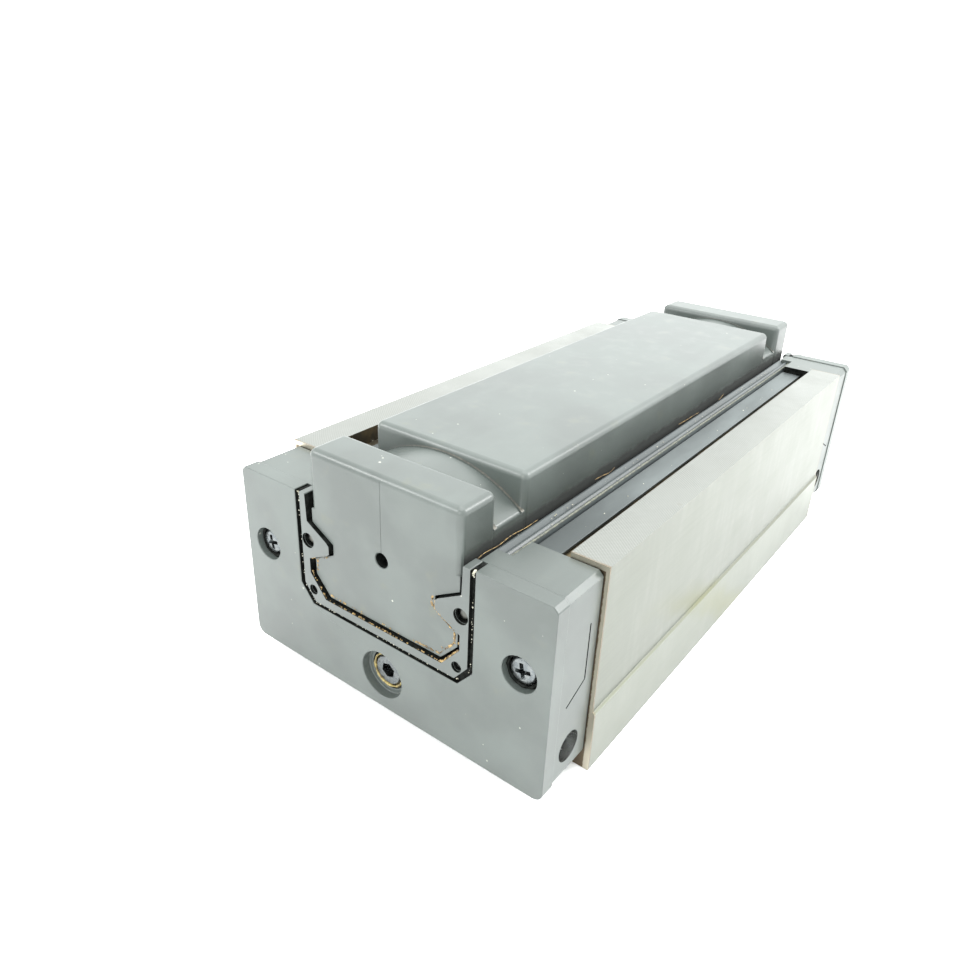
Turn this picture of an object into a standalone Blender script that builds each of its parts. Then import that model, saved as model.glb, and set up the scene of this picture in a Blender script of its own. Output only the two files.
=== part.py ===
"""Long four-row linear guide carriage, resting on its mounting face with the rail slot up.

A plastic temporary rail sits in the slot and keeps the balls in until the carriage is
pushed onto its real rail.  Units are metres.  +Z is up, +Y runs along the slot, and the
origin is the middle of the mounting face.  "front" is the -Y end and "right" is +X.
"""

import math

import bmesh
import bpy
from mathutils import Matrix, Vector

OBJECT_NAME = "linear_guide_carriage"
CLEARANCE = 0.0003
CUT_MARGIN = 0.002

# Steel slide block.
BODY_LENGTH = 0.207
BODY_HEIGHT = 0.072
LOWER_HALF_WIDTH = 0.063
UPPER_HALF_WIDTH = 0.0622
LEDGE_HEIGHT = 0.0216
BODY_CHAMFER = 0.0008
SLOT_HALF_WIDTH = 0.034
SLOT_FLOOR = 0.0325
STRIP_RECESS_HALF_WIDTH = 0.050
STRIP_RECESS_FLOOR = 0.0663

# Balls, their two load rows and two return bores on each side.
BALL_RADIUS = 0.005953
CHANNEL_RADIUS = 0.0063
RETURN_BORE_RADIUS = 0.0065
BALL_PITCH = 0.0122
BALLS_PER_ROW = 17
BALL_NECK_RADIUS = 0.0011
BEAD_SHOULDER = 0.52 * BALL_RADIUS
BEAD_BELLY = 0.86 * BALL_RADIUS
LOWER_LOAD_ROW = (0.031, 0.0344)
LOWER_RETURN_ROW = (0.0475, 0.0305)
UPPER_LOAD_ROW = (0.0306, 0.0542)
UPPER_RETURN_ROW = (0.0485, 0.0575)
CIRCUITS = {"lower": (LOWER_LOAD_ROW, LOWER_RETURN_ROW), "upper": (UPPER_LOAD_ROW, UPPER_RETURN_ROW)}
TURN_SEAT_HALF_WIDTH = 0.0075
GUIDE_HALF_WIDTH = 0.0072
GUIDE_RIM_INSET = 0.0005

# Strip that keeps the balls in, between the two load rows of one side.
RETAINER_X = (0.0310, 0.0336)
RETAINER_Z = (0.0414, 0.0472)
RETAINER_CHAMFER = 0.0006

# Mounting holes: tapped M16 on a rectangle, shown at their tapping radius.
MOUNT_HALF_PITCH_X = 0.038
MOUNT_HALF_PITCH_Y = 0.060
MOUNT_HOLE_RADIUS = 0.007
MOUNT_HOLE_DEPTH = 0.020

# Ends: a cap that turns the balls round, and a cover plate that holds the end seal.
TOTAL_LENGTH = 0.253
PLATE_THICKNESS = 0.0055
PLATE_HALF_WIDTH = 0.0611
PLATE_BOTTOM = 0.0045
PLATE_TOP = 0.0708
CAP_INSET = 0.0004
BOTTOM_CORNER_RADIUS = 0.0032
TOP_CORNER_CHAMFER = 0.0016
WINDOW_HALF_WIDTH = 0.0353
WINDOW_FLOOR = 0.0305
WINDOW_CORNER = (0.0300, 0.0368)
LIP_NOTCH_X = (0.0300, 0.0377)

# Fasteners and ports in the ends.
SCREW_X = 0.0508
SCREW_Z = 0.0450
SCREW_HEAD_RADIUS = 0.0043
SCREW_RECESS_RADIUS = 0.0057
SCREW_SHANK_RADIUS = 0.0024
SCREW_HOLE_RADIUS = 0.0028
SCREW_FACE_DEPTH = 0.0015
SCREW_RECESS_DEPTH = 0.0043
SCREW_HEAD_HEIGHT = 0.0026
SCREW_LENGTH = 0.030
SCREW_TURN = math.radians(12)
SCREW_CROSS = (0.0028, 0.0016, 0.0006)
GREASE_PORT_Z = 0.0172
GREASE_RECESS_RADIUS = 0.0083
GREASE_RECESS_DEPTH = 0.0032
GREASE_HOLE_RADIUS = 0.00675
GREASE_BORE_BOTTOM = 0.1115
GREASE_FEED_RADIUS = 0.0015
GREASE_PLUG_RADIUS = 0.0053
GREASE_PLUG_DEPTH = 0.0030
GREASE_PLUG_LENGTH = 0.0100
GREASE_SOCKET_RADIUS = 0.0027
GREASE_SOCKET_DEPTH = 0.0045
SEALANT_OUTER_RADIUS = 0.0063
SEALANT_THICKNESS = 0.0018
SEALANT_SINK = 0.0004
SIDE_PORT_Y = 0.1133
SIDE_PORT_Z = 0.0160
SIDE_PORT_RADIUS = 0.0050
SIDE_PORT_DEPTH = 0.0140
SIDE_PLUG_DEPTH = 0.0055
SIDE_PLUG_LENGTH = 0.0065
SIDE_SOCKET_RADIUS = 0.0023
SIDE_SOCKET_DEPTH = 0.0035
PLUG_CHAMFER = 0.0005
THREAD_PLAY = 0.0004
SEAL_PIN_PLACES = {"upper": (0.0307, 0.0542, 0.0021), "lower": (0.0296, 0.0362, 0.0013)}
SEAL_PIN_SINK = 0.0012
SEAL_PIN_PLAY = 0.0004

# Rubber lip and steel strip beside the slot.
UNDER_SEAL_X = (0.0314, 0.0369)
UNDER_SEAL_SHOULDER = (0.0324, 0.0692)
UNDER_SEAL_TOP = 0.0698
UNDER_STRIP_X = (0.0372, 0.0452)
UNDER_STRIP_TOP = 0.0677

# Temporary rail.
RAIL_HALF_LENGTH = 0.1253
RAIL_HALF_WIDTH = 0.0294
RAIL_TOP = 0.0860
RAIL_END_BLOCK_LENGTH = 0.0153
RAIL_GAP_LENGTH = 0.0132
RAIL_ARCH_SPRING = 0.0735
RAIL_ARCH_TOP = 0.0837
RAIL_HEAD_BOTTOM = 0.0611
RAIL_BLOCK_OVERHANG = 0.0002
RAIL_EDGE_RADIUS = 0.0022
RAIL_HOLE_RADIUS = 0.0024
RAIL_HOLE_DEPTH = 0.020
RAIL_HOLE_Z = 0.0588

HALF_BODY = BODY_LENGTH / 2
HALF_TOTAL = TOTAL_LENGTH / 2
SEAL_FACE = HALF_TOTAL - 0.0001
SEAL_BACK = HALF_TOTAL - PLATE_THICKNESS
SEAL_LIP_END = 0.1130
ALONG_Y = (math.pi / 2, 0.0, 0.0)
ENDS = (("front", -1), ("rear", 1))
SIDES = (("left", -1), ("right", 1))


# ---------------------------------------------------------------- scene and materials

def clear_scene():
    for item in list(bpy.data.objects):
        bpy.data.objects.remove(item, do_unlink=True)


def make_collection(name):
    collection = bpy.data.collections.new(name)
    bpy.context.scene.collection.children.link(collection)
    return collection


def make_material(name, colour, roughness, metallic):
    material = bpy.data.materials.new(name)
    material.use_nodes = True
    shader = material.node_tree.nodes["Principled BSDF"]
    shader.inputs["Base Color"].default_value = (*colour, 1.0)
    shader.inputs["Roughness"].default_value = roughness
    shader.inputs["Metallic"].default_value = metallic
    return material


clear_scene()
PARTS = make_collection(OBJECT_NAME)
CUTTERS = make_collection("cutters")

GROUND_STEEL = make_material("ground_steel", (0.62, 0.63, 0.60), 0.34, 1.0)
STRIP_STEEL = make_material("strip_steel", (0.36, 0.42, 0.46), 0.28, 1.0)
BALL_STEEL = make_material("ball_steel", (0.75, 0.76, 0.78), 0.12, 1.0)
PLATED_STEEL = make_material("plated_steel", (0.55, 0.56, 0.58), 0.30, 1.0)
BLACK_PLASTIC = make_material("black_plastic", (0.075, 0.085, 0.085), 0.42, 0.0)
RAIL_PLASTIC = make_material("rail_plastic", (0.085, 0.095, 0.092), 0.50, 0.0)
GUIDE_PLASTIC = make_material("guide_plastic", (0.62, 0.60, 0.52), 0.50, 0.0)
BLACK_RUBBER = make_material("black_rubber", (0.055, 0.060, 0.058), 0.62, 0.0)
SEALANT = make_material("thread_sealant", (0.70, 0.62, 0.16), 0.60, 0.0)


# ---------------------------------------------------------------- shape helpers

def place(item, collection, material=None):
    """Put a new object in one collection only, with its material."""
    for owner in list(item.users_collection):
        owner.objects.unlink(item)
    collection.objects.link(item)
    if material:
        item.data.materials.clear()
        item.data.materials.append(material)
    if collection is CUTTERS:
        item.hide_render = True
        item.display_type = "WIRE"
    return item


def finish_part(item, material, parent):
    """Shade a part, give it its material and hang it on the piece that carries it."""
    place(item, PARTS, material)
    item.data.shade_smooth()
    item.data.set_sharp_from_angle(angle=math.radians(32))
    item.parent = parent
    item.matrix_parent_inverse = Matrix.Translation(-parent.location)
    return item


def carrier(name, location):
    """An empty that carries the parts of one rigid body."""
    empty = bpy.data.objects.new(name, None)
    empty.location = location
    PARTS.objects.link(empty)
    return empty


def prism(name, outline, y_from, y_to):
    """Extrude an outline given as (x, z) points from y_from to y_to."""
    curve = bpy.data.curves.new(name + "_outline", "CURVE")
    curve.dimensions = "2D"
    curve.fill_mode = "BOTH"
    curve.extrude = abs(y_to - y_from) / 2
    spline = curve.splines.new("POLY")
    spline.points.add(len(outline) - 1)
    for point, (x, z) in zip(spline.points, outline):
        point.co = (x, z, 0.0, 1.0)
    spline.use_cyclic_u = True
    flat = bpy.data.objects.new(name + "_outline", curve)
    bpy.context.scene.collection.objects.link(flat)
    solid = mesh_from(flat, name)
    solid.rotation_euler = ALONG_Y
    solid.location = (0.0, (y_from + y_to) / 2, 0.0)
    return solid


def mesh_from(source, name):
    """Turn an object into a closed mesh object of its own and remove the source."""
    bpy.context.view_layer.update()
    evaluated = source.evaluated_get(bpy.context.evaluated_depsgraph_get())
    mesh = bpy.data.meshes.new_from_object(evaluated)
    mesh.name = name
    shape = bmesh.new()
    shape.from_mesh(mesh)
    bmesh.ops.remove_doubles(shape, verts=shape.verts, dist=1e-6)
    bmesh.ops.dissolve_limit(shape, angle_limit=0.01, verts=shape.verts, edges=shape.edges)
    bmesh.ops.recalc_face_normals(shape, faces=shape.faces)
    shape.to_mesh(mesh)
    shape.free()
    solid = bpy.data.objects.new(name, mesh)
    bpy.context.scene.collection.objects.link(solid)
    solid.matrix_world = source.matrix_world
    bpy.data.objects.remove(source, do_unlink=True)
    return solid


def cylinder(name, radius, start, stop, sides=16):
    """A cylinder between two points that lie on a line parallel to X, Y or Z."""
    start = Vector(start)
    stop = Vector(stop)
    run = stop - start
    bpy.ops.mesh.primitive_cylinder_add(vertices=sides, radius=radius, depth=run.length)
    item = bpy.context.object
    item.name = name
    item.location = (start + stop) / 2
    item.rotation_euler = run.to_track_quat("Z", "Y").to_euler()
    return item


def block(name, low, high):
    """A box between two corners, with its scale applied to the mesh."""
    low = Vector(low)
    high = Vector(high)
    bpy.ops.mesh.primitive_cube_add(size=1.0)
    item = bpy.context.object
    item.name = name
    item.data.transform(Matrix.Diagonal((*(high - low), 1.0)))
    item.location = (low + high) / 2
    return item


def turned(name, profile, steps, closed=False):
    """Turn a (radius, height) profile round local Z; it runs down the outer side."""
    mesh = bpy.data.meshes.new(name)
    shape = bmesh.new()
    points = [shape.verts.new((radius, 0.0, height)) for radius, height in profile]
    for first, second in zip(points, points[1:]):
        shape.edges.new((first, second))
    if closed:
        shape.edges.new((points[-1], points[0]))
    shape.to_mesh(mesh)
    shape.free()
    item = bpy.data.objects.new(name, mesh)
    bpy.context.scene.collection.objects.link(item)
    turn = item.modifiers.new("turn", "SCREW")
    turn.steps = steps
    turn.render_steps = steps
    turn.use_merge_vertices = True
    turn.merge_threshold = 0.00001
    return item


def aim(item, place_at, direction):
    """Move an object to a point with its local Z along a direction."""
    item.location = place_at
    item.rotation_euler = Vector(direction).to_track_quat("Z", "Y").to_euler()
    return item


def boolean(item, other, operation):
    """Cut a part with a cutter, or join or trim it, and keep the modifier live."""
    place(other, CUTTERS)
    change = item.modifiers.new(other.name, "BOOLEAN")
    change.operation = operation
    change.object = other
    return item


def arc(centre, radius, start, stop, count):
    """Points on an arc, ends included, with the angles in degrees."""
    angles = [math.radians(start + (stop - start) * step / count) for step in range(count + 1)]
    return [(centre[0] + radius * math.cos(a), centre[1] + radius * math.sin(a)) for a in angles]


def both_sides(right_half):
    """Close an outline from its right half, which runs from the middle out and back."""
    return right_half + [(-x, z) for x, z in reversed(right_half)]


def end_range(end, outer, inner):
    """The y range between two distances from the middle, at one end."""
    return (end * outer, end * inner) if end < 0 else (end * inner, end * outer)


# ---------------------------------------------------------------- steel slide block

def groove(row, floor_z=None):
    """Where a ball groove about a load row meets the slot wall and the slot floor."""
    wall_angle = math.degrees(math.acos((SLOT_HALF_WIDTH - row[0]) / CHANNEL_RADIUS))
    if floor_z is None:
        return arc(row, CHANNEL_RADIUS, wall_angle, -wall_angle, 7)
    floor_angle = -180 - math.degrees(math.asin((floor_z - row[1]) / CHANNEL_RADIUS))
    return arc(row, CHANNEL_RADIUS, wall_angle, floor_angle, 11)


def body_outline():
    right = [
        (LOWER_HALF_WIDTH - BODY_CHAMFER, 0.0),
        (LOWER_HALF_WIDTH, BODY_CHAMFER),
        (LOWER_HALF_WIDTH, LEDGE_HEIGHT),
        (UPPER_HALF_WIDTH, LEDGE_HEIGHT + BODY_CHAMFER),
        (UPPER_HALF_WIDTH, BODY_HEIGHT - BODY_CHAMFER),
        (UPPER_HALF_WIDTH - BODY_CHAMFER, BODY_HEIGHT),
        (STRIP_RECESS_HALF_WIDTH, BODY_HEIGHT),
        (STRIP_RECESS_HALF_WIDTH, STRIP_RECESS_FLOOR),
        (SLOT_HALF_WIDTH, STRIP_RECESS_FLOOR),
    ]
    right += groove(UPPER_LOAD_ROW)
    right += groove(LOWER_LOAD_ROW, floor_z=SLOT_FLOOR)
    return both_sides(right)


def make_slide_body(carriage):
    body = prism("slide_body", body_outline(), -HALF_BODY, HALF_BODY)
    reach = HALF_BODY + CUT_MARGIN
    for side_name, side in SIDES:
        for row_name, (_, (x, z)) in CIRCUITS.items():
            bore = cylinder(f"{side_name}_{row_name}_return_bore", RETURN_BORE_RADIUS,
                            (side * x, -reach, z), (side * x, reach, z))
            boolean(body, bore, "DIFFERENCE")
        for end_name, end in ENDS:
            x = side * MOUNT_HALF_PITCH_X
            y = end * MOUNT_HALF_PITCH_Y
            hole = cylinder(f"{end_name}_{side_name}_mounting_hole", MOUNT_HOLE_RADIUS,
                            (x, y, -CUT_MARGIN), (x, y, MOUNT_HOLE_DEPTH), 20)
            boolean(body, hole, "DIFFERENCE")
            inner = HALF_TOTAL - SCREW_FACE_DEPTH - SCREW_LENGTH - CUT_MARGIN
            tapping = cylinder(f"{end_name}_{side_name}_cap_screw_tapping", SCREW_HOLE_RADIUS,
                               (side * SCREW_X, end * inner, SCREW_Z),
                               (side * SCREW_X, end * reach, SCREW_Z), 12)
            boolean(body, tapping, "DIFFERENCE")
    return finish_part(body, GROUND_STEEL, carriage)


# ---------------------------------------------------------------- balls and their guides

def turn_radius(load, back):
    return math.dist(load, back) / 2


def bead_profile(length):
    """A row of balls joined by thin necks, as a profile from one end to the other."""
    top = length / 2
    profile = [(0.0, top + BALL_RADIUS)]
    for step in range(BALLS_PER_ROW):
        centre = top - step * BALL_PITCH
        profile += [(BEAD_BELLY, centre + BEAD_SHOULDER), (BEAD_BELLY, centre - BEAD_SHOULDER),
                    (BALL_NECK_RADIUS, centre - BALL_PITCH / 2)]
    return profile[:-1] + [(0.0, -top - BALL_RADIUS)]


def turn_ball_places(side, end, load, back):
    """Centres of the last ball of each row and of the two balls in the turn between them."""
    radius = turn_radius(load, back)
    half_gap = math.asin(BALL_PITCH / 2 / radius)
    middle = Vector((side * (load[0] + back[0]) / 2, 0.0, (load[1] + back[1]) / 2))
    outward = Vector((side * (back[0] - load[0]), 0.0, back[1] - load[1])).normalized()
    last_y = end * BALL_PITCH * (BALLS_PER_ROW - 1) / 2
    places = [Vector((side * load[0], last_y, load[1]))]
    for angle in (math.pi / 2 - half_gap, math.pi / 2 + half_gap):
        centre = middle - outward * radius * math.cos(angle)
        centre.y = end * (HALF_BODY + radius * math.sin(angle))
        places.append(centre)
    return places + [Vector((side * back[0], last_y, back[1]))]


def make_ball_circuit(name, side, load, back, carriage):
    """One endless circuit of balls, joined by thin necks so that it is a single solid."""
    span = BALL_PITCH * (BALLS_PER_ROW - 1)
    rows = []
    for row_name, (x, z) in (("load", load), ("return", back)):
        row = turned(f"{name}_{row_name}_row", bead_profile(span), 6)
        rows.append(mesh_from(aim(row, (side * x, 0.0, z), (0.0, 1.0, 0.0)), row.name))
    balls = rows[0]
    balls.name = name
    turns = []
    for end_name, end in ENDS:
        places = turn_ball_places(side, end, load, back)
        for number, (first, second) in enumerate(zip(places, places[1:])):
            turns.append(cylinder(f"{name}_{end_name}_neck_{number}", BALL_NECK_RADIUS, first, second, 5))
        for number, centre in enumerate(places[1:-1]):
            bpy.ops.mesh.primitive_ico_sphere_add(subdivisions=1, radius=BALL_RADIUS, location=centre)
            bpy.context.object.name = f"{name}_{end_name}_turn_ball_{number}"
            turns.append(bpy.context.object)
    boolean(balls, turns[0], "UNION")
    for item in turns[1:] + [rows[1]]:
        boolean(balls, item, "UNION")
    return finish_part(balls, BALL_STEEL, carriage)


def turn_frame(side, end, load, back):
    """Place a turned shape on the middle of a ball turn, square to the turn's plane."""
    middle = Vector((side * (load[0] + back[0]) / 2, end * HALF_BODY, (load[1] + back[1]) / 2))
    across = Vector((side * (back[1] - load[1]), 0.0, load[0] - back[0]))
    return middle, across


def make_turn_pocket(name, side, end, load, back):
    """The hollow in a cap: an outer half channel and the seat of the return guide."""
    radius = turn_radius(load, back)
    seat = TURN_SEAT_HALF_WIDTH
    outer = arc((radius, 0.0), CHANNEL_RADIUS, 90, -90, 6)
    profile = [(0.0, seat), (radius, seat), *outer, (radius, -seat), (0.0, -seat)]
    pocket = turned(name, profile, 16)
    return aim(pocket, *turn_frame(side, end, load, back))


def make_return_guide(name, side, end, load, back, carriage):
    """The half-round guide that the balls of one circuit run round in a cap."""
    radius = turn_radius(load, back)
    rim = radius - GUIDE_RIM_INSET
    cheek = GUIDE_HALF_WIDTH
    lip_angle = math.degrees(math.acos((rim - radius) / CHANNEL_RADIUS))
    inner = arc((radius, 0.0), CHANNEL_RADIUS, lip_angle, 360 - lip_angle, 5)
    profile = [(0.0, cheek), (rim, cheek), *inner, (rim, -cheek), (0.0, -cheek)]
    guide = aim(turned(name, profile, 16), *turn_frame(side, end, load, back))
    y_from, y_to = end_range(end, HALF_TOTAL, HALF_BODY + CLEARANCE)
    keep = block(f"{name}_half", (-LOWER_HALF_WIDTH, y_from, 0.0), (LOWER_HALF_WIDTH, y_to, RAIL_TOP))
    boolean(guide, keep, "INTERSECT")
    return finish_part(guide, GUIDE_PLASTIC, carriage)


def make_ball_retainer(side_name, side, carriage):
    """The strip between the two load rows that keeps the balls in their grooves."""
    low_x, high_x = sorted(side * x for x in RETAINER_X)
    strip = block(f"{side_name}_ball_retainer", (low_x, -HALF_BODY, RETAINER_Z[0]),
                  (high_x, HALF_BODY, RETAINER_Z[1]))
    edge = strip.modifiers.new("edge", "BEVEL")
    edge.width = RETAINER_CHAMFER
    edge.segments = 1
    return finish_part(strip, GUIDE_PLASTIC, carriage)


# ---------------------------------------------------------------- ends

def shell_outline(half_width, bottom, top, slot):
    """A U-shaped end outline: rounded below, chamfered above, open above the slot."""
    corner = (half_width - BOTTOM_CORNER_RADIUS, bottom + BOTTOM_CORNER_RADIUS)
    right = arc(corner, BOTTOM_CORNER_RADIUS, -90, 0, 4)
    right += [(half_width, top - TOP_CORNER_CHAMFER), (half_width - TOP_CORNER_CHAMFER, top)]
    right += [(slot[0][0], top)] + slot
    return both_sides(right)


def cap_slot():
    """The slot through a cap follows the rail and its two waist notches."""
    return [(0.0325, 0.0619), (0.0270, 0.0588), (0.0270, 0.0500), (0.0320, 0.0474),
            (0.0320, 0.0422), (0.0246, 0.0334)]


def window_slot():
    """The window in a cover plate, with its two corners cut off."""
    return [(WINDOW_HALF_WIDTH, WINDOW_CORNER[1]), (WINDOW_CORNER[0], WINDOW_FLOOR)]


def make_end_cap(end_name, end, carriage):
    outer = HALF_TOTAL - PLATE_THICKNESS - CLEARANCE
    y_from, y_to = end_range(end, outer, HALF_BODY + CLEARANCE)
    outline = shell_outline(PLATE_HALF_WIDTH - CAP_INSET, PLATE_BOTTOM + CAP_INSET,
                            PLATE_TOP - CAP_INSET, cap_slot())
    cap = prism(f"{end_name}_end_cap", outline, y_from, y_to)
    for side_name, side in SIDES:
        for row_name, (load, back) in CIRCUITS.items():
            pocket = make_turn_pocket(f"{end_name}_{side_name}_{row_name}_turn", side, end, load, back)
            boolean(cap, pocket, "DIFFERENCE")
        screw_hole = cylinder(f"{end_name}_{side_name}_cap_screw_hole", SCREW_HOLE_RADIUS,
                              (side * SCREW_X, end * (HALF_BODY - CUT_MARGIN), SCREW_Z),
                              (side * SCREW_X, end * (HALF_TOTAL + CUT_MARGIN), SCREW_Z), 12)
        boolean(cap, screw_hole, "DIFFERENCE")
        wall = PLATE_HALF_WIDTH - CAP_INSET
        port = cylinder(f"{end_name}_{side_name}_side_port", SIDE_PORT_RADIUS,
                        (side * (wall - SIDE_PORT_DEPTH), end * SIDE_PORT_Y, SIDE_PORT_Z),
                        (side * (wall + CUT_MARGIN), end * SIDE_PORT_Y, SIDE_PORT_Z), 20)
        boolean(cap, port, "DIFFERENCE")
        low_x, high_x = sorted(side * x for x in LIP_NOTCH_X)
        y_low, y_high = end_range(end, SEAL_LIP_END + CLEARANCE, HALF_BODY - CUT_MARGIN)
        notch = block(f"{end_name}_{side_name}_lip_notch", (low_x, y_low, STRIP_RECESS_FLOOR),
                      (high_x, y_high, BODY_HEIGHT + CUT_MARGIN))
        boolean(cap, notch, "DIFFERENCE")
    bore = cylinder(f"{end_name}_grease_bore", GREASE_PLUG_RADIUS + THREAD_PLAY,
                    (0.0, end * GREASE_BORE_BOTTOM, GREASE_PORT_Z),
                    (0.0, end * HALF_TOTAL, GREASE_PORT_Z), 20)
    boolean(cap, bore, "DIFFERENCE")
    feed = cylinder(f"{end_name}_grease_feed", GREASE_FEED_RADIUS,
                    (0.0, end * (HALF_BODY - CUT_MARGIN), GREASE_PORT_Z),
                    (0.0, end * (GREASE_BORE_BOTTOM + CUT_MARGIN / 2), GREASE_PORT_Z), 8)
    boolean(cap, feed, "DIFFERENCE")
    return finish_part(cap, BLACK_PLASTIC, carriage)


def make_end_plate(end_name, end, carriage):
    y_from, y_to = end_range(end, HALF_TOTAL, HALF_TOTAL - PLATE_THICKNESS)
    outline = shell_outline(PLATE_HALF_WIDTH, PLATE_BOTTOM, PLATE_TOP, window_slot())
    plate = prism(f"{end_name}_end_plate", outline, y_from, y_to)
    outside = end * (HALF_TOTAL + CUT_MARGIN)
    inside = end * (HALF_TOTAL - PLATE_THICKNESS - CUT_MARGIN)
    for side_name, side in SIDES:
        x = side * SCREW_X
        recess = cylinder(f"{end_name}_{side_name}_screw_recess", SCREW_RECESS_RADIUS,
                          (x, end * (HALF_TOTAL - SCREW_RECESS_DEPTH), SCREW_Z),
                          (x, outside, SCREW_Z), 20)
        boolean(plate, recess, "DIFFERENCE")
        hole = cylinder(f"{end_name}_{side_name}_screw_hole", SCREW_HOLE_RADIUS,
                        (x, inside, SCREW_Z), (x, outside, SCREW_Z), 12)
        boolean(plate, hole, "DIFFERENCE")
    grease_recess = cylinder(f"{end_name}_grease_recess", GREASE_RECESS_RADIUS,
                             (0.0, end * (HALF_TOTAL - GREASE_RECESS_DEPTH), GREASE_PORT_Z),
                             (0.0, outside, GREASE_PORT_Z), 28)
    boolean(plate, grease_recess, "DIFFERENCE")
    grease_hole = cylinder(f"{end_name}_grease_hole", GREASE_HOLE_RADIUS,
                           (0.0, inside, GREASE_PORT_Z), (0.0, outside, GREASE_PORT_Z), 20)
    boolean(plate, grease_hole, "DIFFERENCE")
    return finish_part(plate, BLACK_PLASTIC, carriage)


def seal_outline():
    """A U-shaped wiper whose inner lip follows the rail section with a waist nose."""
    right = [
        (0.0289, 0.0318), (0.0335, 0.0376), (0.0335, 0.0706), (0.0310, 0.0706),
        (0.0307, 0.0612), (0.0224, 0.0564), (0.0214, 0.0554), (0.0214, 0.0526),
        (0.0224, 0.0517), (0.0305, 0.0477), (0.0305, 0.0424), (0.0240, 0.0347),
    ]
    return both_sides(right)


def make_end_seal(end_name, end, carriage):
    y_from, y_to = end_range(end, SEAL_FACE, SEAL_BACK)
    seal = prism(f"{end_name}_end_seal", seal_outline(), y_from, y_to)
    for side_name, side in SIDES:
        for level, (x, z, radius) in SEAL_PIN_PLACES.items():
            hole = cylinder(f"{end_name}_{side_name}_{level}_pin_hole", radius + CLEARANCE,
                            (side * x, end * (SEAL_BACK - CUT_MARGIN), z),
                            (side * x, end * (SEAL_FACE + CUT_MARGIN), z), 12)
            boolean(seal, hole, "DIFFERENCE")
    return finish_part(seal, BLACK_RUBBER, carriage)


def make_seal_pin(name, side, end, place_at, carriage):
    """A pin that holds the seal on the cap, sunk a little below the seal's face."""
    x, z, radius = place_at
    pin = cylinder(name, radius + CLEARANCE - SEAL_PIN_PLAY, (side * x, end * SEAL_BACK, z),
                   (side * x, end * (SEAL_FACE - SEAL_PIN_SINK), z), 10)
    return finish_part(pin, PLATED_STEEL, carriage)


def make_cap_screw(name, side, end, carriage):
    """A pan head screw with a cross recess that clamps plate and cap to the block."""
    head = SCREW_HEAD_RADIUS
    seat = -SCREW_HEAD_HEIGHT
    dome = [(0.0, 0.0), (head * 0.75, -0.0002), (head, seat / 2), (head, seat)]
    shank = [(SCREW_SHANK_RADIUS, seat), (SCREW_SHANK_RADIUS, SCREW_SHANK_RADIUS / 3 - SCREW_LENGTH),
             (SCREW_SHANK_RADIUS * 0.6, -SCREW_LENGTH), (0.0, -SCREW_LENGTH)]
    face = (side * SCREW_X, end * (HALF_TOTAL - SCREW_FACE_DEPTH), SCREW_Z)
    screw = aim(turned(name, dome + shank, 14), face, (0.0, end, 0.0))
    for number in range(2):
        slot = block(f"{name}_recess_{number}", [-half for half in SCREW_CROSS], SCREW_CROSS)
        slot.location = face
        slot.rotation_euler = (0.0, side * SCREW_TURN + number * math.pi / 2, 0.0)
        boolean(screw, slot, "DIFFERENCE")
    return finish_part(screw, PLATED_STEEL, carriage)


def socket_plug_profile(radius, length):
    return [(0.0, 0.0), (radius - PLUG_CHAMFER, 0.0), (radius, -PLUG_CHAMFER),
            (radius, PLUG_CHAMFER - length), (radius - PLUG_CHAMFER, -length), (0.0, -length)]


def make_grease_plug(end_name, end, carriage):
    """A headless plug with a hexagon socket that closes the grease port."""
    profile = socket_plug_profile(GREASE_PLUG_RADIUS, GREASE_PLUG_LENGTH)
    plug = turned(f"{end_name}_grease_plug", profile, 16)
    face = end * (HALF_TOTAL - GREASE_PLUG_DEPTH)
    aim(plug, (0.0, face, GREASE_PORT_Z), (0.0, end, 0.0))
    socket = cylinder(f"{end_name}_grease_plug_socket", GREASE_SOCKET_RADIUS,
                      (0.0, face - end * GREASE_SOCKET_DEPTH, GREASE_PORT_Z),
                      (0.0, face + end * CUT_MARGIN, GREASE_PORT_Z), 6)
    boolean(plug, socket, "DIFFERENCE")
    return finish_part(plug, PLATED_STEEL, carriage)


def make_plug_sealant(end_name, end, carriage):
    """The ring of thread sealant round the mouth of the grease plug."""
    inner = GREASE_PLUG_RADIUS + CLEARANCE
    outer = SEALANT_OUTER_RADIUS
    profile = [(inner, 0.0), (outer, 0.0), (outer, -SEALANT_THICKNESS), (inner, -SEALANT_THICKNESS)]
    ring = turned(f"{end_name}_plug_sealant", profile, 20, closed=True)
    face = end * (HALF_TOTAL - GREASE_PLUG_DEPTH - SEALANT_SINK)
    aim(ring, (0.0, face, GREASE_PORT_Z), (0.0, end, 0.0))
    return finish_part(ring, SEALANT, carriage)


def make_side_port_plug(name, side, end, carriage):
    """A socket plug that closes one of the side grease ports of a cap."""
    face = side * (PLATE_HALF_WIDTH - CAP_INSET - SIDE_PLUG_DEPTH)
    plug = turned(name, socket_plug_profile(SIDE_PORT_RADIUS - THREAD_PLAY, SIDE_PLUG_LENGTH), 16)
    aim(plug, (face, end * SIDE_PORT_Y, SIDE_PORT_Z), (side, 0.0, 0.0))
    socket = cylinder(f"{name}_socket", SIDE_SOCKET_RADIUS,
                      (face - side * SIDE_SOCKET_DEPTH, end * SIDE_PORT_Y, SIDE_PORT_Z),
                      (face + side * CUT_MARGIN, end * SIDE_PORT_Y, SIDE_PORT_Z), 6)
    boolean(plug, socket, "DIFFERENCE")
    return finish_part(plug, PLATED_STEEL, carriage)


# ---------------------------------------------------------------- strips beside the slot

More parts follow.
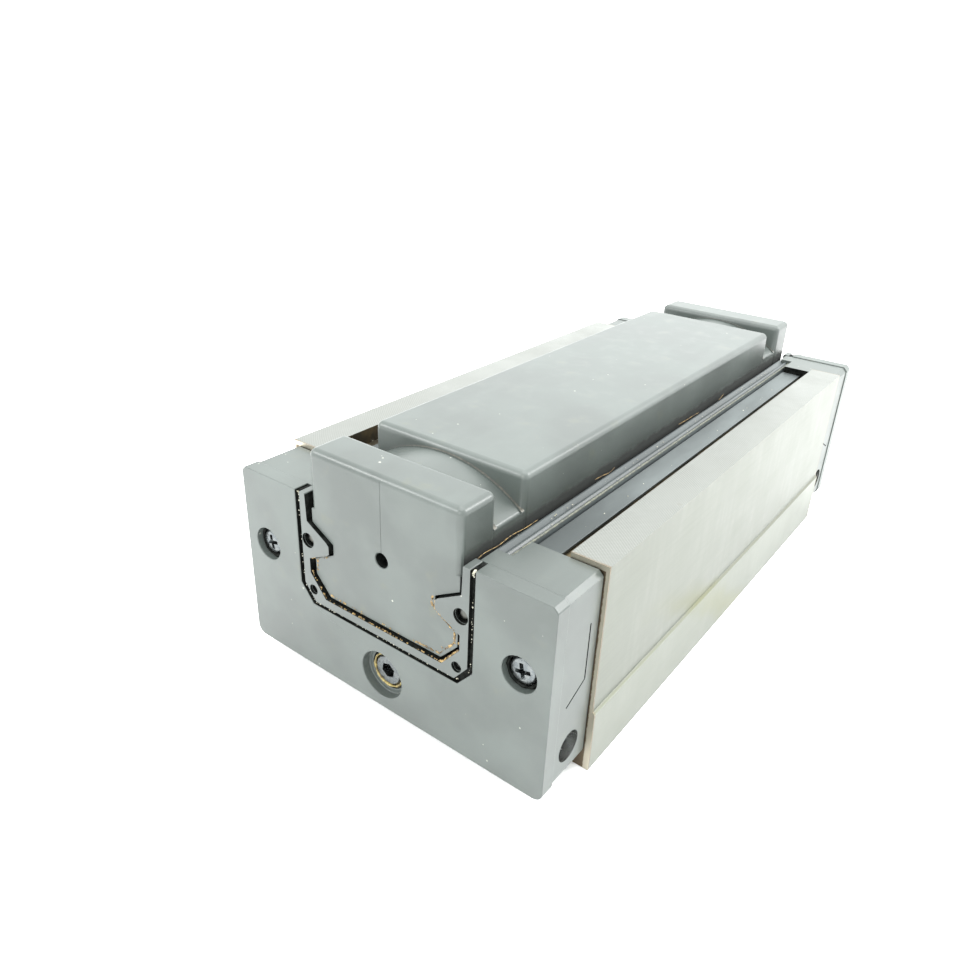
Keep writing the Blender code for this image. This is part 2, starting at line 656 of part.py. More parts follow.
def make_under_seal(side_name, side, carriage):
    """The ridged rubber lip that runs beside the rail on one leg."""
    low = STRIP_RECESS_FLOOR + CLEARANCE
    inner, outer = UNDER_SEAL_X
    shoulder_x, shoulder_z = UNDER_SEAL_SHOULDER
    outline = [(inner, low), (inner, shoulder_z), (shoulder_x, UNDER_SEAL_TOP),
               (outer, shoulder_z), (outer, low)]
    lip = prism(f"{side_name}_under_seal", [(side * x, z) for x, z in outline],
                CLEARANCE - SEAL_LIP_END, SEAL_LIP_END - CLEARANCE)
    return finish_part(lip, BLACK_RUBBER, carriage)


def make_under_strip(side_name, side, carriage):
    """The steel strip that clamps the rubber lip in the recess of one leg."""
    low_x, high_x = sorted(side * x for x in UNDER_STRIP_X)
    strip = block(f"{side_name}_under_strip", (low_x, -HALF_BODY, STRIP_RECESS_FLOOR + CLEARANCE),
                  (high_x, HALF_BODY, UNDER_STRIP_TOP))
    return finish_part(strip, STRIP_STEEL, carriage)


# ---------------------------------------------------------------- temporary rail

def rail_section():
    right = [(0.0229, 0.0355), (0.0290, 0.0422), (0.0290, 0.0479), (0.0206, 0.0522),
             (0.0206, 0.0559), (RAIL_HALF_WIDTH, 0.0609), (RAIL_HALF_WIDTH, 0.0615)]
    return both_sides(right)


def arch_section():
    """The low arched back of the rail, which shows in the two gaps between its blocks."""
    rise = RAIL_ARCH_TOP - RAIL_ARCH_SPRING
    radius = (RAIL_HALF_WIDTH ** 2 + rise ** 2) / (2 * rise)
    half_angle = math.degrees(math.asin(RAIL_HALF_WIDTH / radius))
    top = arc((0.0, RAIL_ARCH_TOP - radius), radius, 90 - half_angle, 90 + half_angle, 14)
    return [(-RAIL_HALF_WIDTH, RAIL_HEAD_BOTTOM), (RAIL_HALF_WIDTH, RAIL_HEAD_BOTTOM)] + top


def rail_block(name, y_from, y_to):
    side = RAIL_HALF_WIDTH + RAIL_BLOCK_OVERHANG
    solid = block(name, (-side, y_from, RAIL_HEAD_BOTTOM + RAIL_BLOCK_OVERHANG), (side, y_to, RAIL_TOP))
    edge = solid.modifiers.new("edge", "BEVEL")
    edge.width = RAIL_EDGE_RADIUS
    edge.segments = 3
    return solid


def make_temporary_rail(slide_axis):
    rail = prism("temporary_rail", rail_section(), -RAIL_HALF_LENGTH, RAIL_HALF_LENGTH)
    hidden = RAIL_HALF_LENGTH - RAIL_END_BLOCK_LENGTH / 2
    boolean(rail, prism("rail_arched_back", arch_section(), -hidden, hidden), "UNION")
    step = RAIL_HALF_LENGTH - RAIL_END_BLOCK_LENGTH
    boolean(rail, rail_block("rail_middle_block", RAIL_GAP_LENGTH - step, step - RAIL_GAP_LENGTH), "UNION")
    for end_name, end in ENDS:
        y_from, y_to = end_range(end, RAIL_HALF_LENGTH + RAIL_BLOCK_OVERHANG / 2, step)
        boolean(rail, rail_block(f"rail_{end_name}_block", y_from, y_to), "UNION")
        hole = cylinder(f"rail_{end_name}_hole", RAIL_HOLE_RADIUS,
                        (0.0, end * (RAIL_HALF_LENGTH - RAIL_HOLE_DEPTH), RAIL_HOLE_Z),
                        (0.0, end * (RAIL_HALF_LENGTH + CUT_MARGIN), RAIL_HOLE_Z), 16)
        boolean(rail, hole, "DIFFERENCE")
    return finish_part(rail, RAIL_PLASTIC, slide_axis)


# ---------------------------------------------------------------- assembly

def build():
    carriage = carrier("carriage_frame", (0.0, 0.0, 0.0))
    slide_axis = carrier("temporary_rail_slide_axis", (0.0, 0.0, RAIL_HOLE_Z))
    slide_axis.parent = carriage
    make_slide_body(carriage)
    for side_name, side in SIDES:
        for row_name, (load, back) in CIRCUITS.items():
            make_ball_circuit(f"{side_name}_{row_name}_balls", side, load, back, carriage)
        make_ball_retainer(side_name, side, carriage)
        make_under_seal(side_name, side, carriage)
        make_under_strip(side_name, side, carriage)
    for end_name, end in ENDS:
        make_end_cap(end_name, end, carriage)
        make_end_plate(end_name, end, carriage)
        make_end_seal(end_name, end, carriage)
        make_grease_plug(end_name, end, carriage)
        make_plug_sealant(end_name, end, carriage)
        for side_name, side in SIDES:
            corner = f"{end_name}_{side_name}"
            make_cap_screw(f"{corner}_cap_screw", side, end, carriage)
            make_side_port_plug(f"{corner}_side_port_plug", side, end, carriage)
            for level, place_at in SEAL_PIN_PLACES.items():
                make_seal_pin(f"{corner}_{level}_seal_pin", side, end, place_at, carriage)
            for level, (load, back) in CIRCUITS.items():
                make_return_guide(f"{corner}_{level}_return_guide", side, end, load, back, carriage)
    make_temporary_rail(slide_axis)


build()
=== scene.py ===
"""Looks of a long linear guide carriage that lies slot up with its temporary rail in place.

Every visible piece is rebuilt here with fine edges and procedural materials, in the frame of
the CAD model: metres, +Z up, +Y along the slot, "front" is -Y and "right" is +X.
"""

import math
import random

import bmesh
import bpy
from mathutils import Euler, Matrix, Vector, noise


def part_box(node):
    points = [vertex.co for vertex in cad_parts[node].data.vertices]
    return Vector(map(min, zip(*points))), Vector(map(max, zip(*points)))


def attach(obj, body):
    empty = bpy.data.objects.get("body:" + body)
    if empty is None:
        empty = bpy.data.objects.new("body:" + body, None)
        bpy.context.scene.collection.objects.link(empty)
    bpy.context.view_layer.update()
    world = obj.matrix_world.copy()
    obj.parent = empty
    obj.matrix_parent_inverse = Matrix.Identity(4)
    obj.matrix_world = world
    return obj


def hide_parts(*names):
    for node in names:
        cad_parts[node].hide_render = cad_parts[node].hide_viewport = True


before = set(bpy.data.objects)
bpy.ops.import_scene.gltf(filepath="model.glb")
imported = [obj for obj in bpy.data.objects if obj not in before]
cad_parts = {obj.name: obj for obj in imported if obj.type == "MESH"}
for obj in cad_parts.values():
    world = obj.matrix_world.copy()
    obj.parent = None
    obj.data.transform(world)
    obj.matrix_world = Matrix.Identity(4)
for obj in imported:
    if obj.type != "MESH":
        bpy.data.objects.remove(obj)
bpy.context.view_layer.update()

MM = 0.001
ENDS = (("front", -1), ("rear", 1))
SIDES = (("left", -1), ("right", 1))
CARRIAGE = "carriage"
RAIL = "temporary_rail"

# The camera stands where the photographer stood, in front of the right front corner.
CAMERA_PLACE = (0.14045, -0.26679, 0.18543)
CAMERA_TURN = (63.332, -1.9064, 37.7181)
CAMERA_LENS = 30.05

# Outer sizes, read from the CAD model.
BODY_LOW, BODY_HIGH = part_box("slide_body")
CAP_LOW, CAP_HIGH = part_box("rear_end_cap")
PLATE_LOW, PLATE_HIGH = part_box("rear_end_plate")
SEAL_LOW, SEAL_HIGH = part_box("rear_end_seal")
LIP_LOW, LIP_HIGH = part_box("right_under_seal")
STRIP_LOW, STRIP_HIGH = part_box("right_under_strip")
KEEPER_LOW, KEEPER_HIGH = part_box("right_ball_retainer")
RAIL_LOW, RAIL_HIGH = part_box("temporary_rail")
HALF_BODY = BODY_HIGH.y
HALF_TOTAL = PLATE_HIGH.y

# Steel block.
UPPER_HALF_WIDTH = 62.2 * MM
LEDGE_HEIGHT = 21.6 * MM
SLOT_HALF_WIDTH = 34.0 * MM
SLOT_FLOOR = 32.5 * MM
RECESS_HALF_WIDTH = 50.0 * MM
RECESS_FLOOR = 66.3 * MM
MOUNT_HOLES = (38.0 * MM, 60.0 * MM)
MOUNT_HOLE_RADIUS = 7.0 * MM
MOUNT_HOLE_DEPTH = 20.0 * MM
THREAD_PITCH = 2.0 * MM

# Balls.
BALL_RADIUS = 5.953 * MM
BALL_PITCH = 12.2 * MM
BALLS_PER_ROW = 17
CHANNEL_RADIUS = 6.3 * MM
RETURN_BORE_RADIUS = 6.5 * MM
CIRCUITS = {
    "lower": ((31.0 * MM, 34.4 * MM), (47.5 * MM, 30.5 * MM)),
    "upper": ((30.6 * MM, 54.2 * MM), (48.5 * MM, 57.5 * MM)),
}

# Ends.
BOTTOM_CORNER_RADIUS = 3.2 * MM
TOP_CORNER_CHAMFER = 1.6 * MM
WINDOW_HALF_WIDTH = 35.3 * MM
WINDOW_FLOOR = 30.5 * MM
SCREW_PLACE = (50.8 * MM, 45.0 * MM)
SCREW_DEPTH = 1.5 * MM
PORT_Z = 17.2 * MM
PORT_PLUG_DEPTH = 3.0 * MM
SIDE_PORT_Y = 113.3 * MM
SIDE_PORT_Z = 16.0 * MM
SIDE_PORT_RADIUS = 5.0 * MM
SIDE_PLUG_DEPTH = 5.5 * MM
SEAL_PINS = {"upper": (30.7 * MM, 54.2 * MM, 2.1 * MM), "lower": (29.6 * MM, 36.2 * MM, 1.3 * MM)}

# Temporary rail.
RAIL_BLOCK_LENGTH = 15.3 * MM
RAIL_GAP = 13.2 * MM
RAIL_SIDE = 29.4 * MM
ARCH_SPRING = 73.5 * MM
ARCH_TOP = 83.7 * MM
RAIL_EDGE = 2.3 * MM
RAIL_HOLE_Z = 58.8 * MM


# ---------------------------------------------------------------- shape helpers

def keep_mesh(name, shape):
    """An object of its own for a finished bmesh."""
    mesh = bpy.data.meshes.new(name)
    shape.to_mesh(mesh)
    shape.free()
    item = bpy.data.objects.new(name, mesh)
    bpy.context.scene.collection.objects.link(item)
    return item


def settle(item):
    """Bake the modifiers and the place of an object into its mesh."""
    bpy.context.view_layer.update()
    evaluated = item.evaluated_get(bpy.context.evaluated_depsgraph_get())
    mesh = bpy.data.meshes.new_from_object(evaluated)
    mesh.transform(item.matrix_world)
    item.modifiers.clear()
    item.matrix_world = Matrix.Identity(4)
    item.data = mesh
    return item


def prism(name, outline, y_from, y_to):
    """Extrude an (x, z) outline along Y."""
    shape = bmesh.new()
    face = shape.faces.new([shape.verts.new((x, y_from, z)) for x, z in outline])
    grown = bmesh.ops.extrude_face_region(shape, geom=[face])["geom"]
    moved = [part for part in grown if isinstance(part, bmesh.types.BMVert)]
    bmesh.ops.translate(shape, verts=moved, vec=(0.0, y_to - y_from, 0.0))
    bmesh.ops.recalc_face_normals(shape, faces=shape.faces)
    return keep_mesh(name, shape)


def block(name, low, high):
    shape = bmesh.new()
    bmesh.ops.create_cube(shape, size=1.0)
    size = Vector(high) - Vector(low)
    bmesh.ops.scale(shape, verts=shape.verts, vec=size)
    bmesh.ops.translate(shape, verts=shape.verts, vec=Vector(low) + size / 2)
    return keep_mesh(name, shape)


def turned(name, profile, steps=48, closed=False):
    """Turn a (radius, height) profile round Z; the profile runs down the outer side."""
    shape = bmesh.new()
    rings = []
    for radius, height in profile:
        count = steps if radius > 0 else 1
        angles = [2 * math.pi * step / steps for step in range(count)]
        rings.append([shape.verts.new((radius * math.cos(a), radius * math.sin(a), height)) for a in angles])
    pairs = list(zip(rings, rings[1:]))
    if closed:
        pairs.append((rings[-1], rings[0]))
    for upper, lower in pairs:
        for step in range(steps):
            following = step + 1
            corners = [upper[step % len(upper)], lower[step % len(lower)],
                       lower[following % len(lower)], upper[following % len(upper)]]
            shape.faces.new(list(dict.fromkeys(corners)))
    bmesh.ops.recalc_face_normals(shape, faces=shape.faces)
    return keep_mesh(name, shape)


def aim(item, place, direction, roll=0.0):
    """Move a turned shape to a point with its top along a direction."""
    turn = Vector(direction).to_track_quat("Z", "Y").to_matrix().to_4x4()
    item.data.transform(Matrix.Translation(place) @ turn @ Matrix.Rotation(roll, 4, "Z"))
    return item


def cylinder(name, radius, start, stop, sides=48):
    run = Vector(stop) - Vector(start)
    half = run.length / 2
    rod = turned(name, [(0.0, half), (radius, half), (radius, -half), (0.0, -half)], sides)
    return aim(rod, (Vector(start) + Vector(stop)) / 2, run)


def combine(item, others, operation):
    """Cut an object with others, or join others to it, and drop them."""
    for other in others:
        change = item.modifiers.new(other.name, "BOOLEAN")
        change.operation = operation
        change.object = other
        settle(item)
        bpy.data.objects.remove(other, do_unlink=True)
    return item


def cut(item, *others):
    return combine(item, others, "DIFFERENCE")


def join(item, *others):
    return combine(item, others, "UNION")


def even_out(item, angle=32):
    """Shade a piece smooth over its rounded edges and keep its large faces flat."""
    item.data.shade_smooth()
    item.data.set_sharp_from_angle(angle=math.radians(angle))
    weights = item.modifiers.new("weights", "WEIGHTED_NORMAL")
    weights.keep_sharp = True
    weights.weight = 100
    return settle(item)


def round_ends(item, width):
    """Round the edges of the two end faces of a prism."""
    shape = bmesh.new()
    shape.from_mesh(item.data)
    limits = (min(vert.co.y for vert in shape.verts), max(vert.co.y for vert in shape.verts))
    rims = [edge for edge in shape.edges for limit in limits
            if all(abs(vert.co.y - limit) < 1e-7 for vert in edge.verts)]
    bmesh.ops.bevel(shape, geom=rims, offset=width, segments=2, profile=0.5, affect="EDGES",
                    clamp_overlap=True)
    shape.to_mesh(item.data)
    shape.free()
    return item


def soften(item, width, segments=2, angle=32):
    """Round the sharp edges of a hard piece and shade it smooth."""
    shape = bmesh.new()
    shape.from_mesh(item.data)
    bmesh.ops.remove_doubles(shape, verts=shape.verts, dist=1e-6)
    bmesh.ops.dissolve_limit(shape, angle_limit=0.006, verts=shape.verts, edges=shape.edges)
    shape.to_mesh(item.data)
    shape.free()
    item.data.shade_smooth()
    edge = item.modifiers.new("edge", "BEVEL")
    edge.width = width
    edge.segments = segments
    edge.limit_method = "ANGLE"
    edge.angle_limit = math.radians(angle)
    edge.harden_normals = True
    edge.miter_outer = "MITER_ARC"
    return settle(item)


def arc(centre, radius, start, stop, count):
    """Points on an arc, ends included, with the angles in degrees."""
    angles = [math.radians(start + (stop - start) * step / count) for step in range(count + 1)]
    return [(centre[0] + radius * math.cos(a), centre[1] + radius * math.sin(a)) for a in angles]


def rounded(outline, radius, count=4):
    """Round every corner of a closed outline, as far as its edges allow."""
    result = []
    total = len(outline)
    for index, corner in enumerate(outline):
        here = Vector(corner)
        before = Vector(outline[index - 1]) - here
        after = Vector(outline[(index + 1) % total]) - here
        half = before.angle(after) / 2
        reach = min(radius / math.tan(half), 0.45 * before.length, 0.45 * after.length)
        start = here + before.normalized() * reach
        stop = here + after.normalized() * reach
        for step in range(count + 1):
            t = step / count
            point = start * (1 - t) ** 2 + here * 2 * t * (1 - t) + stop * t ** 2
            result.append(tuple(point))
    return result


def both_sides(right_half):
    """Close an outline from its right half, which runs from the middle out and back."""
    return right_half + [(-x, z) for x, z in reversed(right_half)]


def mirrored(outline, side):
    return [(side * x, z) for x, z in outline]


# ---------------------------------------------------------------- materials

class Shade:
    """One procedural Principled material while it is being put together."""

    def __init__(self, name, **constants):
        self.material = bpy.data.materials.new(name)
        self.material.use_nodes = True
        self.tree = self.material.node_tree
        self.shader = self.tree.nodes["Principled BSDF"]
        for socket, value in constants.items():
            self.shader.inputs[socket.replace("_", " ").title().replace("Ior", "IOR")].default_value = value
        self.place = self.add("ShaderNodeTexCoord").outputs["Object"]

    def add(self, kind, inputs=None, **settings):
        node = self.tree.nodes.new(kind)
        for key, value in settings.items():
            setattr(node, key, value)
        for key, value in (inputs or {}).items():
            if isinstance(value, bpy.types.NodeSocket):
                self.tree.links.new(value, node.inputs[key])
            else:
                node.inputs[key].default_value = value
        return node

    def stretched(self, stretch, turn=(0.0, 0.0, 0.0), shift=(0.0, 0.0, 0.0)):
        """Object coordinates in millimetres, stretched, turned and shifted."""
        scale = tuple(factor / MM for factor in stretch)
        inputs = {"Vector": self.place, "Scale": scale, "Rotation": turn, "Location": shift}
        return self.add("ShaderNodeMapping", inputs).outputs["Vector"]

    def noise(self, size, detail=3.0, stretch=(1.0, 1.0, 1.0), turn=(0.0, 0.0, 0.0), shift=(0.0, 0.0, 0.0)):
        """Soft noise with features of about a size in millimetres."""
        inputs = {"Vector": self.stretched(stretch, turn, shift), "Scale": 1.0 / size, "Detail": detail}
        return self.add("ShaderNodeTexNoise", inputs).outputs["Fac"]

    def specks(self, spacing, radius, shift=(0.0, 0.0, 0.0), stretch=(1.0, 1.0, 1.0)):
        """1 inside small round specks, about one in each cell of a size in millimetres."""
        vector = self.stretched(stretch, shift=shift)
        cell = self.add("ShaderNodeTexVoronoi", {"Vector": vector, "Scale": 1.0 / spacing})
        reach = self.math("MULTIPLY", self.parts(cell.outputs["Color"], "Red"), radius / spacing)
        return self.math("LESS_THAN", cell.outputs["Distance"], reach)

    def parts(self, colour, channel):
        return self.add("ShaderNodeSeparateColor", {"Color": colour}).outputs[channel]

    def math(self, operation, first, second=0.0, third=0.0):
        node = self.add("ShaderNodeMath", {0: first, 1: second, 2: third}, operation=operation)
        return node.outputs["Value"]

    def span(self, value, low, high, to_low=0.0, to_high=1.0):
        """Smooth step from low to high."""
        inputs = {"Value": value, "From Min": low, "From Max": high, "To Min": to_low, "To Max": to_high}
        return self.add("ShaderNodeMapRange", inputs, interpolation_type="SMOOTHSTEP").outputs["Result"]

    def mix(self, factor, first, second, blend="MIX"):
        node = self.add("ShaderNodeMix", data_type="RGBA", blend_type=blend)
        sockets = [socket for socket in node.inputs if socket.enabled]
        for socket, value in zip(sockets, (factor, first, second)):
            if isinstance(value, bpy.types.NodeSocket):
                self.tree.links.new(value, socket)
            elif isinstance(value, tuple):
                socket.default_value = (*value, 1.0)
            else:
                socket.default_value = value
        return [socket for socket in node.outputs if socket.enabled][0]

    def axes(self):
        """The X, Y and Z object coordinates in metres."""
        node = self.add("ShaderNodeSeparateXYZ", {"Vector": self.place})
        return [node.outputs[axis] for axis in "XYZ"]

    def near(self, value, middle, width):
        """1 at a middle value, fading to 0 at a distance from it."""
        distance = self.math("ABSOLUTE", self.math("SUBTRACT", value, middle))
        return self.span(distance, 0.0, width, 1.0, 0.0)

    def finish(self, colour=None, roughness=None, bumps=(), metallic=None):
        """Connect what varies over the surface; each bump is (height, strength, millimetres)."""
        for socket, value in (("Base Color", colour), ("Roughness", roughness), ("Metallic", metallic)):
            if isinstance(value, bpy.types.NodeSocket):
                self.tree.links.new(value, self.shader.inputs[socket])
        normal = None
        for height, strength, reach in bumps:
            inputs = {"Height": height, "Strength": strength, "Distance": reach * MM}
            if normal:
                inputs["Normal"] = normal
            normal = self.add("ShaderNodeBump", inputs).outputs["Normal"]
        if normal:
            self.tree.links.new(normal, self.shader.inputs["Normal"])
        return self.material


def grey(value, tint=(1.0, 1.0, 1.0)):
    return tuple(value * channel for channel in tint)


def painted_foot_shade(shade, base, sheen):
    """Painted shade on the flanks of the temporary rail, near black up to just above the lips."""
    x, _, z = shade.axes()
    height = shade.math("MULTIPLY_ADD", shade.noise(5.0, 4.0, shift=(2.0, 0.0, 0.0)), -2.4 * MM, z)
    flank = shade.math("GREATER_THAN", shade.math("ABSOLUTE", x), 29.38 * MM)
    # Painted shade: the foot is near black below about 70 mm, and a lighter shade fades in from 84 mm
    # downwards.
    foot = shade.math("MULTIPLY", shade.span(height, 71.4 * MM, 69.6 * MM), flank)
    film = shade.math("MULTIPLY", shade.span(height, 84 * MM, 69 * MM), shade.math("MULTIPLY", flank, 0.6))
    base = shade.mix(film, base, (0.022, 0.026, 0.022))
    base = shade.mix(shade.math("MULTIPLY", foot, 0.92), base, (0.005, 0.0065, 0.005))
    return base, shade.math("MULTIPLY_ADD", foot, 0.5, sheen)


def moulded_plastic(name, colour, roughness, worn=0.5, grain=0.06, dust=0.5, shaded_foot=False):
    """Black moulded plastic with cloudy oil films, fine grain, rubs and specks of dust, and optionally
    painted shade at the foot of the flanks.
    """
    shade = Shade(name, ior=1.5)
    cloud = shade.noise(26.0, 4.0)
    film = shade.noise(7.0, 5.0, shift=(40.0, 0.0, 9.0))
    base = shade.mix(shade.span(cloud, 0.35, 0.68), grey(0.86, colour), grey(1.16, colour))
    brown = shade.math("MULTIPLY", shade.span(film, 0.60, 0.78), 0.35 * worn)
    base = shade.mix(brown, base, (colour[0] * 1.35, colour[1] * 1.22, colour[2] * 0.85))
    rub = shade.noise(9.0, 2.0, stretch=(1.0, 0.25, 1.0), turn=(0.0, 0.0, 0.25), shift=(3.0, 8.0, 1.0))
    base = shade.mix(shade.math("MULTIPLY", shade.span(rub, 0.50, 0.75), 0.3 * worn), base, grey(1.3, colour))
    pale = shade.math("MULTIPLY", shade.specks(5.5, 0.42, shift=(1.0, 5.0, 2.0)), dust)
    base = shade.mix(pale, base, (0.34, 0.34, 0.30))
    dark = shade.math("MULTIPLY", shade.specks(23.0, 0.6, shift=(9.0, 1.0, 4.0)), 0.6)
    base = shade.mix(dark, base, grey(0.3, colour))
    sheen = shade.math("ADD", shade.span(cloud, 0.3, 0.7, roughness - 0.02, roughness + 0.03),
                       shade.span(film, 0.45, 0.75, 0.0, -0.035 * worn))
    sheen = shade.math("ADD", sheen, shade.math("MULTIPLY", pale, 0.3))
    grit = shade.noise(0.6, 2.0)
    waves = shade.noise(14.0, 2.0, shift=(5.0, 2.0, 0.0))
    # Painted shade at the foot of the flanks of the temporary rail.
    if shaded_foot:
        base, sheen = painted_foot_shade(shade, base, sheen)
    return shade.finish(base, sheen, [(grit, 0.5 * grain, 0.05), (waves, 0.25, 0.12)])


def steel_base(shade, colour, worn=1.0):
    """Cloudy ground steel with brown freckles; returns its colour and a cloud mask."""
    cloud = shade.noise(22.0, 5.0)
    streak = shade.noise(3.0, 5.0, stretch=(1.0, 0.9, 0.12))
    base = shade.mix(shade.span(cloud, 0.35, 0.65), grey(0.95, colour), grey(1.04, colour))
    base = shade.mix(shade.span(streak, 0.42, 0.64), base, grey(1.05, colour))
    freckle = shade.math("MULTIPLY", shade.specks(16.0, 0.9, shift=(2.0, 3.0, 5.0)), 0.55 * worn)
    base = shade.mix(freckle, base, (0.12, 0.10, 0.06))
    return base, cloud


def joint_stain(shade, base, amount=0.7):
    """Brown oil along the joints between the steel block and its end caps."""
    _, y, _ = shade.axes()
    edge = shade.near(shade.math("ABSOLUTE", y), HALF_BODY, 1.0 * MM)
    ragged = shade.span(shade.noise(2.2, 4.0), 0.15, 0.6)
    stain = shade.math("MULTIPLY", shade.math("MULTIPLY", edge, ragged), amount)
    return shade.mix(stain, base, (0.16, 0.10, 0.05))


def milled_steel(name, colour):
    """The leg tops: overlapping arcs left by a wide face mill that went along the block."""
    shade = Shade(name, metallic=1.0)
    base, cloud = steel_base(shade, colour)
    x, y, _ = shade.axes()
    cutter = 0.090
    bow = shade.math("SQRT", shade.math("SUBTRACT", cutter ** 2, shade.math("MULTIPLY", x, x)))
    mark_spacing = 0.95 * MM
    feed = 2 * math.pi / mark_spacing
    heights = []
    for sign in (1, -1):
        along = shade.math("MULTIPLY_ADD", bow, sign, y)
        turns = shade.math("MULTIPLY", along, feed * (1.0 if sign > 0 else 0.93))
        heights.append(shade.math("SINE", turns))
    both = shade.math("MULTIPLY", shade.math("ADD", heights[0], heights[1]), 0.5)
    fade = shade.span(shade.noise(13.0, 3.0, shift=(0.0, 7.0, 3.0)), 0.40, 0.62, 0.35, 1.0)
    marks = shade.math("MULTIPLY", both, fade)
    ridge = shade.mix(0.5, base, grey(1.35, colour))
    base = shade.mix(shade.span(marks, -0.7, 0.7), grey(0.88, colour), ridge)
    base = joint_stain(shade, base)
    sheen = shade.span(cloud, 0.3, 0.7, 0.30, 0.42)
    return shade.finish(base, sheen, [(marks, 0.45, 0.06)])


def flank_steel(name, colour, oiled):
    """The flanks: fine grinding lines along the block, cloudy smears, one trail of old oil and painted shade
    along the ledge.
    """
    shade = Shade(name, metallic=1.0)
    base, cloud = steel_base(shade, colour)
    x, y, z = shade.axes()
    lines = shade.noise(1.1, 3.0, stretch=(1.0, 0.02, 1.0))
    base = shade.mix(shade.span(lines, 0.35, 0.65, 0.0, 0.5), base, grey(0.92, colour))
    if oiled:
        slope = shade.math("MULTIPLY_ADD", z, 1.85, y)
        wander = shade.math("MULTIPLY_ADD", shade.noise(18.0, 3.0), 30 * MM, slope)
        trail = shade.near(wander, 0.026, 0.020)
        trail = shade.math("MULTIPLY", trail, shade.span(z, 0.048, 0.004))
        trail = shade.math("MULTIPLY", trail, shade.span(x, 0.0, 0.05))
        base = shade.mix(shade.math("MULTIPLY", trail, 0.9), base, (0.128, 0.128, 0.048))
    base = shade.mix(shade.span(z, LEDGE_HEIGHT + 0.3 * MM, LEDGE_HEIGHT, 0.0, 0.5), base, grey(1.35, colour))
    base = joint_stain(shade, base)
    # Painted shade: a dark brown-grey band along the ledge line.
    ledge = shade.near(z, LEDGE_HEIGHT + 0.4 * MM, 0.8 * MM)
    base = shade.mix(shade.math("MULTIPLY", ledge, 0.65), base, (0.085, 0.085, 0.062))
    sheen = shade.span(cloud, 0.3, 0.7, 0.38, 0.43)
    return shade.finish(base, sheen, [(lines, 0.06, 0.03), (shade.noise(3.0, 3.0), 0.04, 0.05)])


def end_face_steel(name, colour):
    """The narrow border of the steel end faces that shows round the caps, brown next to them."""
    shade = Shade(name, metallic=1.0)
    base, cloud = steel_base(shade, colour, 0.3)
    x, _, z = shade.axes()
    beside = shade.math("SUBTRACT", shade.math("ABSOLUTE", x), CAP_HIGH.x)
    above = shade.math("SUBTRACT", z, CAP_HIGH.z - 0.5 * MM)
    ragged = shade.math("MULTIPLY", shade.noise(1.6, 4.0), -0.6 * MM)
    reach = shade.math("ADD", shade.math("MAXIMUM", beside, above), ragged)
    base = shade.mix(shade.span(reach, 0.22 * MM, 0.0, 0.0, 0.85), base, (0.060, 0.036, 0.016))
    return shade.finish(base, shade.span(cloud, 0.3, 0.7, 0.36, 0.46), [(shade.noise(0.6, 4.0), 0.1, 0.03)])


def raw_steel(name, colour, roughness, stain=0.5):
    """Turned, bored or sawn steel with brown oil stains."""
    shade = Shade(name, metallic=1.0)
    base, cloud = steel_base(shade, colour, 0.5)
    patch = shade.span(shade.noise(6.0, 5.0, shift=(4.0, 4.0, 1.0)), 0.42, 0.66)
    patch = shade.math("MULTIPLY", patch, stain)
    base = shade.mix(patch, base, (0.15, 0.115, 0.065))
    sheen = shade.span(cloud, 0.3, 0.7, roughness - 0.04, roughness + 0.08)
    return shade.finish(base, sheen, [(shade.noise(0.6, 4.0), 0.15, 0.04)])


def strip_steel_look(name):
    """Smooth blue-grey strip with a few dark grease specks, and painted shade towards its front end."""
    shade = Shade(name, metallic=1.0)
    colour = (0.145, 0.160, 0.160)
    cloud = shade.noise(9.0, 4.0, stretch=(1.0, 0.25, 1.0))
    base = shade.mix(shade.span(cloud, 0.35, 0.68), grey(0.88, colour), grey(1.15, colour))
    speck = shade.math("MULTIPLY", shade.specks(8.0, 0.6, shift=(3.0, 2.0, 1.0)), 0.7)
    base = shade.mix(speck, base, (0.035, 0.026, 0.018))
    _, y, _ = shade.axes()
    # Painted shade: the strip darkens towards its front end, by up to 45 % from 20 mm to 95 mm in front of
    # the middle.
    base = shade.mix(shade.span(y, -20 * MM, -95 * MM, 0.0, 0.45), base, grey(0.25, colour))
    sheen = shade.span(cloud, 0.3, 0.7, 0.52, 0.60)
    return shade.finish(base, sheen, [(shade.noise(0.8, 3.0, stretch=(1.0, 0.1, 1.0)), 0.12, 0.04)])


def polished_steel(name):
    """Hardened balls with a thin uneven film of oil."""
    shade = Shade(name, metallic=1.0)
    film = shade.noise(4.0, 4.0)
    base = shade.mix(shade.span(film, 0.4, 0.7), (0.52, 0.53, 0.54), (0.40, 0.38, 0.32))
    return shade.finish(base, shade.span(film, 0.35, 0.7, 0.08, 0.22), [(shade.noise(0.3, 2.0), 0.03, 0.01)])


def plated_steel(name):
    """Zinc-plated fasteners with brown dirt that has settled into them."""
    shade = Shade(name, metallic=1.0)
    cloud = shade.noise(1.6, 4.0)
    base = shade.mix(shade.span(cloud, 0.35, 0.65), (0.105, 0.115, 0.12), (0.155, 0.165, 0.165))
    dirt = shade.span(shade.noise(1.1, 5.0, shift=(2.0, 6.0, 1.0)), 0.60, 0.74)
    base = shade.mix(shade.math("MULTIPLY", dirt, 0.6), base, (0.06, 0.045, 0.03))
    sheen = shade.math("ADD", shade.span(cloud, 0.3, 0.7, 0.22, 0.36), shade.math("MULTIPLY", dirt, 0.3))
    return shade.finish(base, sheen, [(shade.noise(0.25, 3.0), 0.06, 0.02), (dirt, 0.3, 0.04)])


